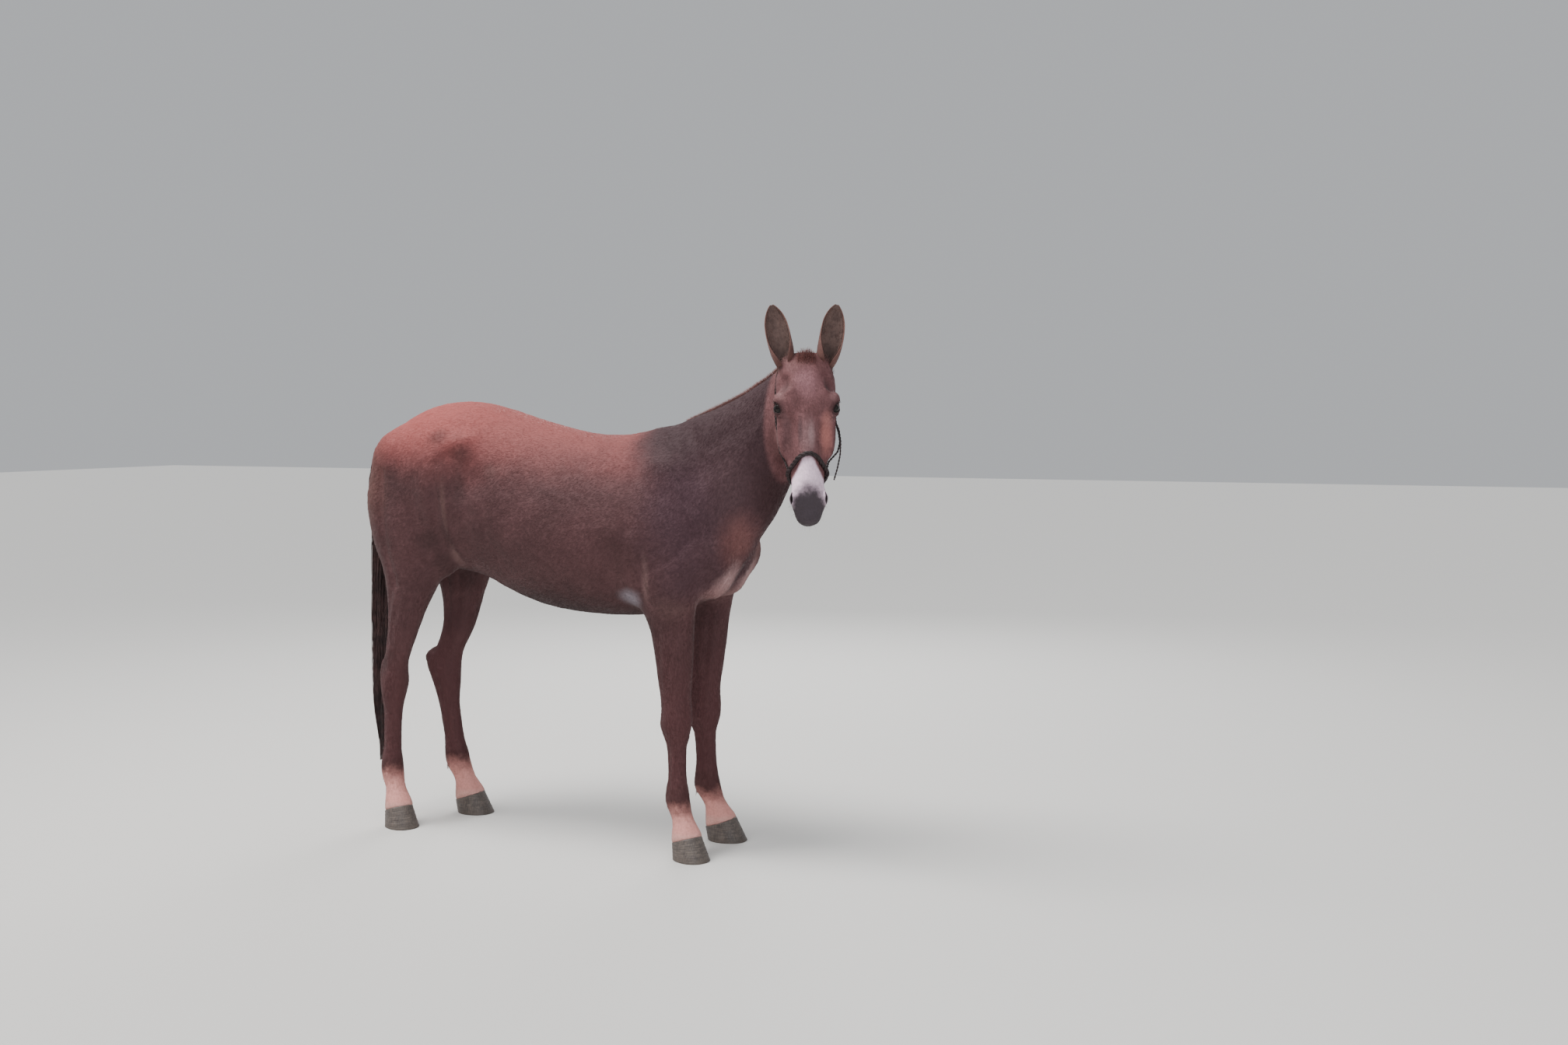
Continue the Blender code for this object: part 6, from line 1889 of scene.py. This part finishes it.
def evened(points, cyclic):
    """The line through the points in even short steps, rounded a little, and how far along each is."""
    rows = np.array([tuple(point) for point in points])
    if cyclic:
        rows = np.vstack([rows, rows[:1]])
    knots = np.concatenate([[0], np.cumsum(np.linalg.norm(np.diff(rows, axis=0), axis=1))])
    spots = np.linspace(0, knots[-1], int(knots[-1] / CORD_STEP), endpoint=not cyclic)
    line = np.stack([np.interp(spots, knots, column) for column in rows.T], axis=1)
    for _ in range(6):
        if cyclic:
            line = (np.roll(line, 1, axis=0) + 2 * line + np.roll(line, -1, axis=0)) / 4
        else:
            line[1:-1] = (line[:-2] + 2 * line[1:-1] + line[2:]) / 4
    return line, spots, knots[-1]


def twisted(name, points, radius, parts, pitch, cyclic=False):
    """A cord of several strands laid round each other along the points."""
    line, spots, length = evened(points, cyclic)
    run = np.roll(line, -1, axis=0) - np.roll(line, 1, axis=0) if cyclic else np.gradient(line, axis=0)
    side = unit(np.cross(unit(run), turned(HEAD, np.array([[0.3, 0.2, 0.93]]))))
    over = np.cross(unit(run), side)
    away = radius * 0.46
    made = []
    for part in range(parts):
        angle = 2 * math.pi * (round(length / pitch) * spots / length + part / parts)
        path = line + side * (away * np.cos(angle))[:, None] + over * (away * np.sin(angle))[:, None]
        made.append(tube(f"{name}_{part}", path.tolist(), radius * 0.56, cyclic))
    cord = joined(name, made)
    smooth(cord)
    return cord


def knot(name, place, radii, paint):
    """A knot: three fat loops laid across each other."""
    loops = []
    for turn in ((0.2, 0.3, 0.0), (1.25, 0.2, 0.5), (0.4, 1.35, 0.9)):
        deselect()
        bpy.ops.mesh.primitive_torus_add(
            major_segments=40, minor_segments=14, major_radius=0.62, minor_radius=0.36, rotation=turn
        )
        bpy.ops.object.transform_apply(location=False, rotation=True, scale=False)
        loops.append(bpy.context.object)
    thing = joined(name, loops)
    thing.data.transform(Matrix.Translation(place) @ HEAD.to_3x3().to_4x4() @ Matrix.Diagonal((*radii, 1.0)))
    smooth(thing)
    finished(thing, paint, "leather")


class MULE_OT_halter(bpy.types.Operator):
    """The rolled noseband with its knots and the thin headstall"""

    bl_idname = "mule.halter"
    bl_label = "Halter"

    def execute(self, context):
        sizes = context.scene.mule_halter
        tree = tree_of(bpy.data.objects["skin"])
        paint = leather_paint()
        on_nose = noseband_points(tree, sizes)
        band = twisted("halter_noseband", on_nose, sizes.band, 3, 0.046, cyclic=True)
        finished(band, paint, "leather", "halter")
        strap = twisted("halter_headstall", headstall_points(tree, on_nose, sizes), sizes.strap, 2, 0.022)
        finished(strap, paint, "leather")
        loose = [HEAD @ Vector(place) for place in LOOSE_END]
        finished(twisted("halter_loose_end", loose, sizes.strap * 0.85, 2, 0.022), paint, "leather")
        heel = min(on_nose, key=lambda point: (HEAD.inverted() @ point).z)
        right, *_, left = sorted(on_nose, key=lambda point: (HEAD.inverted() @ point).y)
        knot("halter_heel_knot", heel, (0.0165, 0.0135, 0.0125), paint)
        knot("halter_left_knot", left, (0.0135, 0.0085, 0.0110), paint)
        knot("halter_right_knot", right, (0.0120, 0.0080, 0.0100), paint)
        return {"FINISHED"}


# The stage


class StageSizes(bpy.types.PropertyGroup):
    key_power: bpy.props.FloatProperty(name="Key", description="Power of the main lamp", default=200.0)
    fill_power: bpy.props.FloatProperty(name="Fill", description="Power of the soft lamp", default=120.0)
    back_power: bpy.props.FloatProperty(name="Back", description="Power of the lamp behind", default=150.0)
    even_power: bpy.props.FloatProperty(name="Even", description="Strength of the far lamp", default=2.6)


def aimed(thing, way, axis):
    """Turns a lamp or the camera until one of its axes points a way."""
    thing.rotation_mode = "QUATERNION"
    thing.rotation_quaternion = way.to_track_quat(axis, "Y")


def lamp(name, place, aim, size, power, colour=(1.0, 1.0, 1.0)):
    """A soft square lamp."""
    deselect()
    bpy.ops.object.light_add(type="AREA", location=place)
    thing = bpy.context.object
    thing.name = name
    thing.data.size = size
    thing.data.energy = power
    thing.data.color = colour
    aimed(thing, Vector(place) - Vector(aim), "Z")
    return thing


def even_lamp(place, power):
    """A far, wide light that fills every side a little."""
    deselect()
    bpy.ops.object.light_add(type="SUN", location=place)
    thing = bpy.context.object
    thing.name = "even_lamp"
    thing.data.energy = power
    thing.data.angle = math.radians(35)
    aimed(thing, Vector((-1.7, -1.2, 4.1)), "Z")
    return thing


def pale_floor():
    """The floor that the mule stands on."""
    deselect()
    bpy.ops.mesh.primitive_plane_add(size=60.0, location=(0, 0, 0))
    floor = bpy.context.object
    floor.name = floor.data.name = "floor"
    floor.data.materials.append(Paint("pale_floor").close((0.62, 0.61, 0.59, 1.0), 0.85))
    return floor


def pale_world():
    """The soft grey light all round."""
    world = bpy.data.worlds.new("studio")
    world.use_nodes = True
    sockets = world.node_tree.nodes["Background"].inputs
    sockets["Color"].default_value = (0.80, 0.82, 0.85, 1.0)
    sockets["Strength"].default_value = 0.62
    return world


def photo_camera():
    """The camera that sees the mule as the photo does."""
    deselect()
    bpy.ops.object.camera_add(location=WHERE @ Vector(CAMERA_AT))
    camera = bpy.context.object
    camera.name = "photo_camera"
    ahead = Vector((-math.sin(CAMERA_YAW), math.cos(CAMERA_YAW), 0.0))
    aimed(camera, ahead * math.cos(CAMERA_PITCH) + Vector((0, 0, math.sin(CAMERA_PITCH))), "-Z")
    camera.data.lens = CAMERA_LENS
    camera.data.sensor_width = CAMERA_FILM
    return camera


class MULE_OT_stage(bpy.types.Operator):
    """The pale floor, the soft lamps and the camera"""

    bl_idname = "mule.stage"
    bl_label = "Stage"

    def execute(self, context):
        sizes = context.scene.mule_stage
        above = (-1.8, -1.2, 5.2)
        pale_floor()
        lamp("key_lamp", above, (-0.1, 0, 1.1), 2.4, sizes.key_power, (1.0, 0.95, 0.9))
        lamp("fill_lamp", (3.8, -4.6, 2.8), (0, 0, 1.0), 3.6, sizes.fill_power, (0.96, 0.97, 1.0))
        lamp("back_lamp", (-1.2, 4.4, 3.6), (0, 0, 1.0), 2.8, sizes.back_power)
        even_lamp(above, sizes.even_power)
        context.scene.world = pale_world()
        context.scene.camera = photo_camera()
        return {"FINISHED"}


# The panel and the run


GROUPS = {
    "mule_skin": SkinSizes,
    "mule_ears": EarSizes,
    "mule_coat": CoatSizes,
    "mule_hair": HairSizes,
    "mule_halter": HalterSizes,
    "mule_stage": StageSizes,
}
OPERATORS = (
    MULE_OT_skin,
    MULE_OT_ears,
    MULE_OT_eyes,
    MULE_OT_hooves,
    MULE_OT_coat,
    MULE_OT_tail,
    MULE_OT_mane,
    MULE_OT_fine_hair,
    MULE_OT_halter,
    MULE_OT_stage,
)


class MULE_PT_panel(bpy.types.Panel):
    """Every piece of the mule, in the order in which they are made"""

    bl_label = "Mule"
    bl_idname = "MULE_PT_panel"
    bl_space_type = "VIEW_3D"
    bl_region_type = "UI"
    bl_category = "Mule"

    def draw(self, context):
        for name, group in GROUPS.items():
            box = self.layout.box()
            for key in group.__annotations__:
                box.prop(getattr(context.scene, name), key)
        for operator in OPERATORS:
            self.layout.operator(operator.bl_idname)


def register():
    """Makes the sizes, operators and panel known."""
    for name, group in GROUPS.items():
        bpy.utils.register_class(group)
        setattr(bpy.types.Scene, name, bpy.props.PointerProperty(type=group))
    for thing in (*OPERATORS, MULE_PT_panel):
        bpy.utils.register_class(thing)


def unregister():
    """Takes them out again."""
    for thing in (MULE_PT_panel, *reversed(OPERATORS)):
        bpy.utils.unregister_class(thing)
    for name, group in reversed(GROUPS.items()):
        delattr(bpy.types.Scene, name)
        bpy.utils.unregister_class(group)


def main():
    """Makes every piece in order."""
    register()
    bpy.ops.mule.skin()
    bpy.ops.mule.ears()
    bpy.ops.mule.eyes()
    bpy.ops.mule.hooves()
    bpy.ops.mule.coat()
    bpy.ops.mule.tail()
    bpy.ops.mule.mane()
    bpy.ops.mule.fine_hair()
    bpy.ops.mule.halter()
    bpy.ops.mule.stage()
    bpy.context.view_layer.update()


if __name__ == "__main__":
    main()
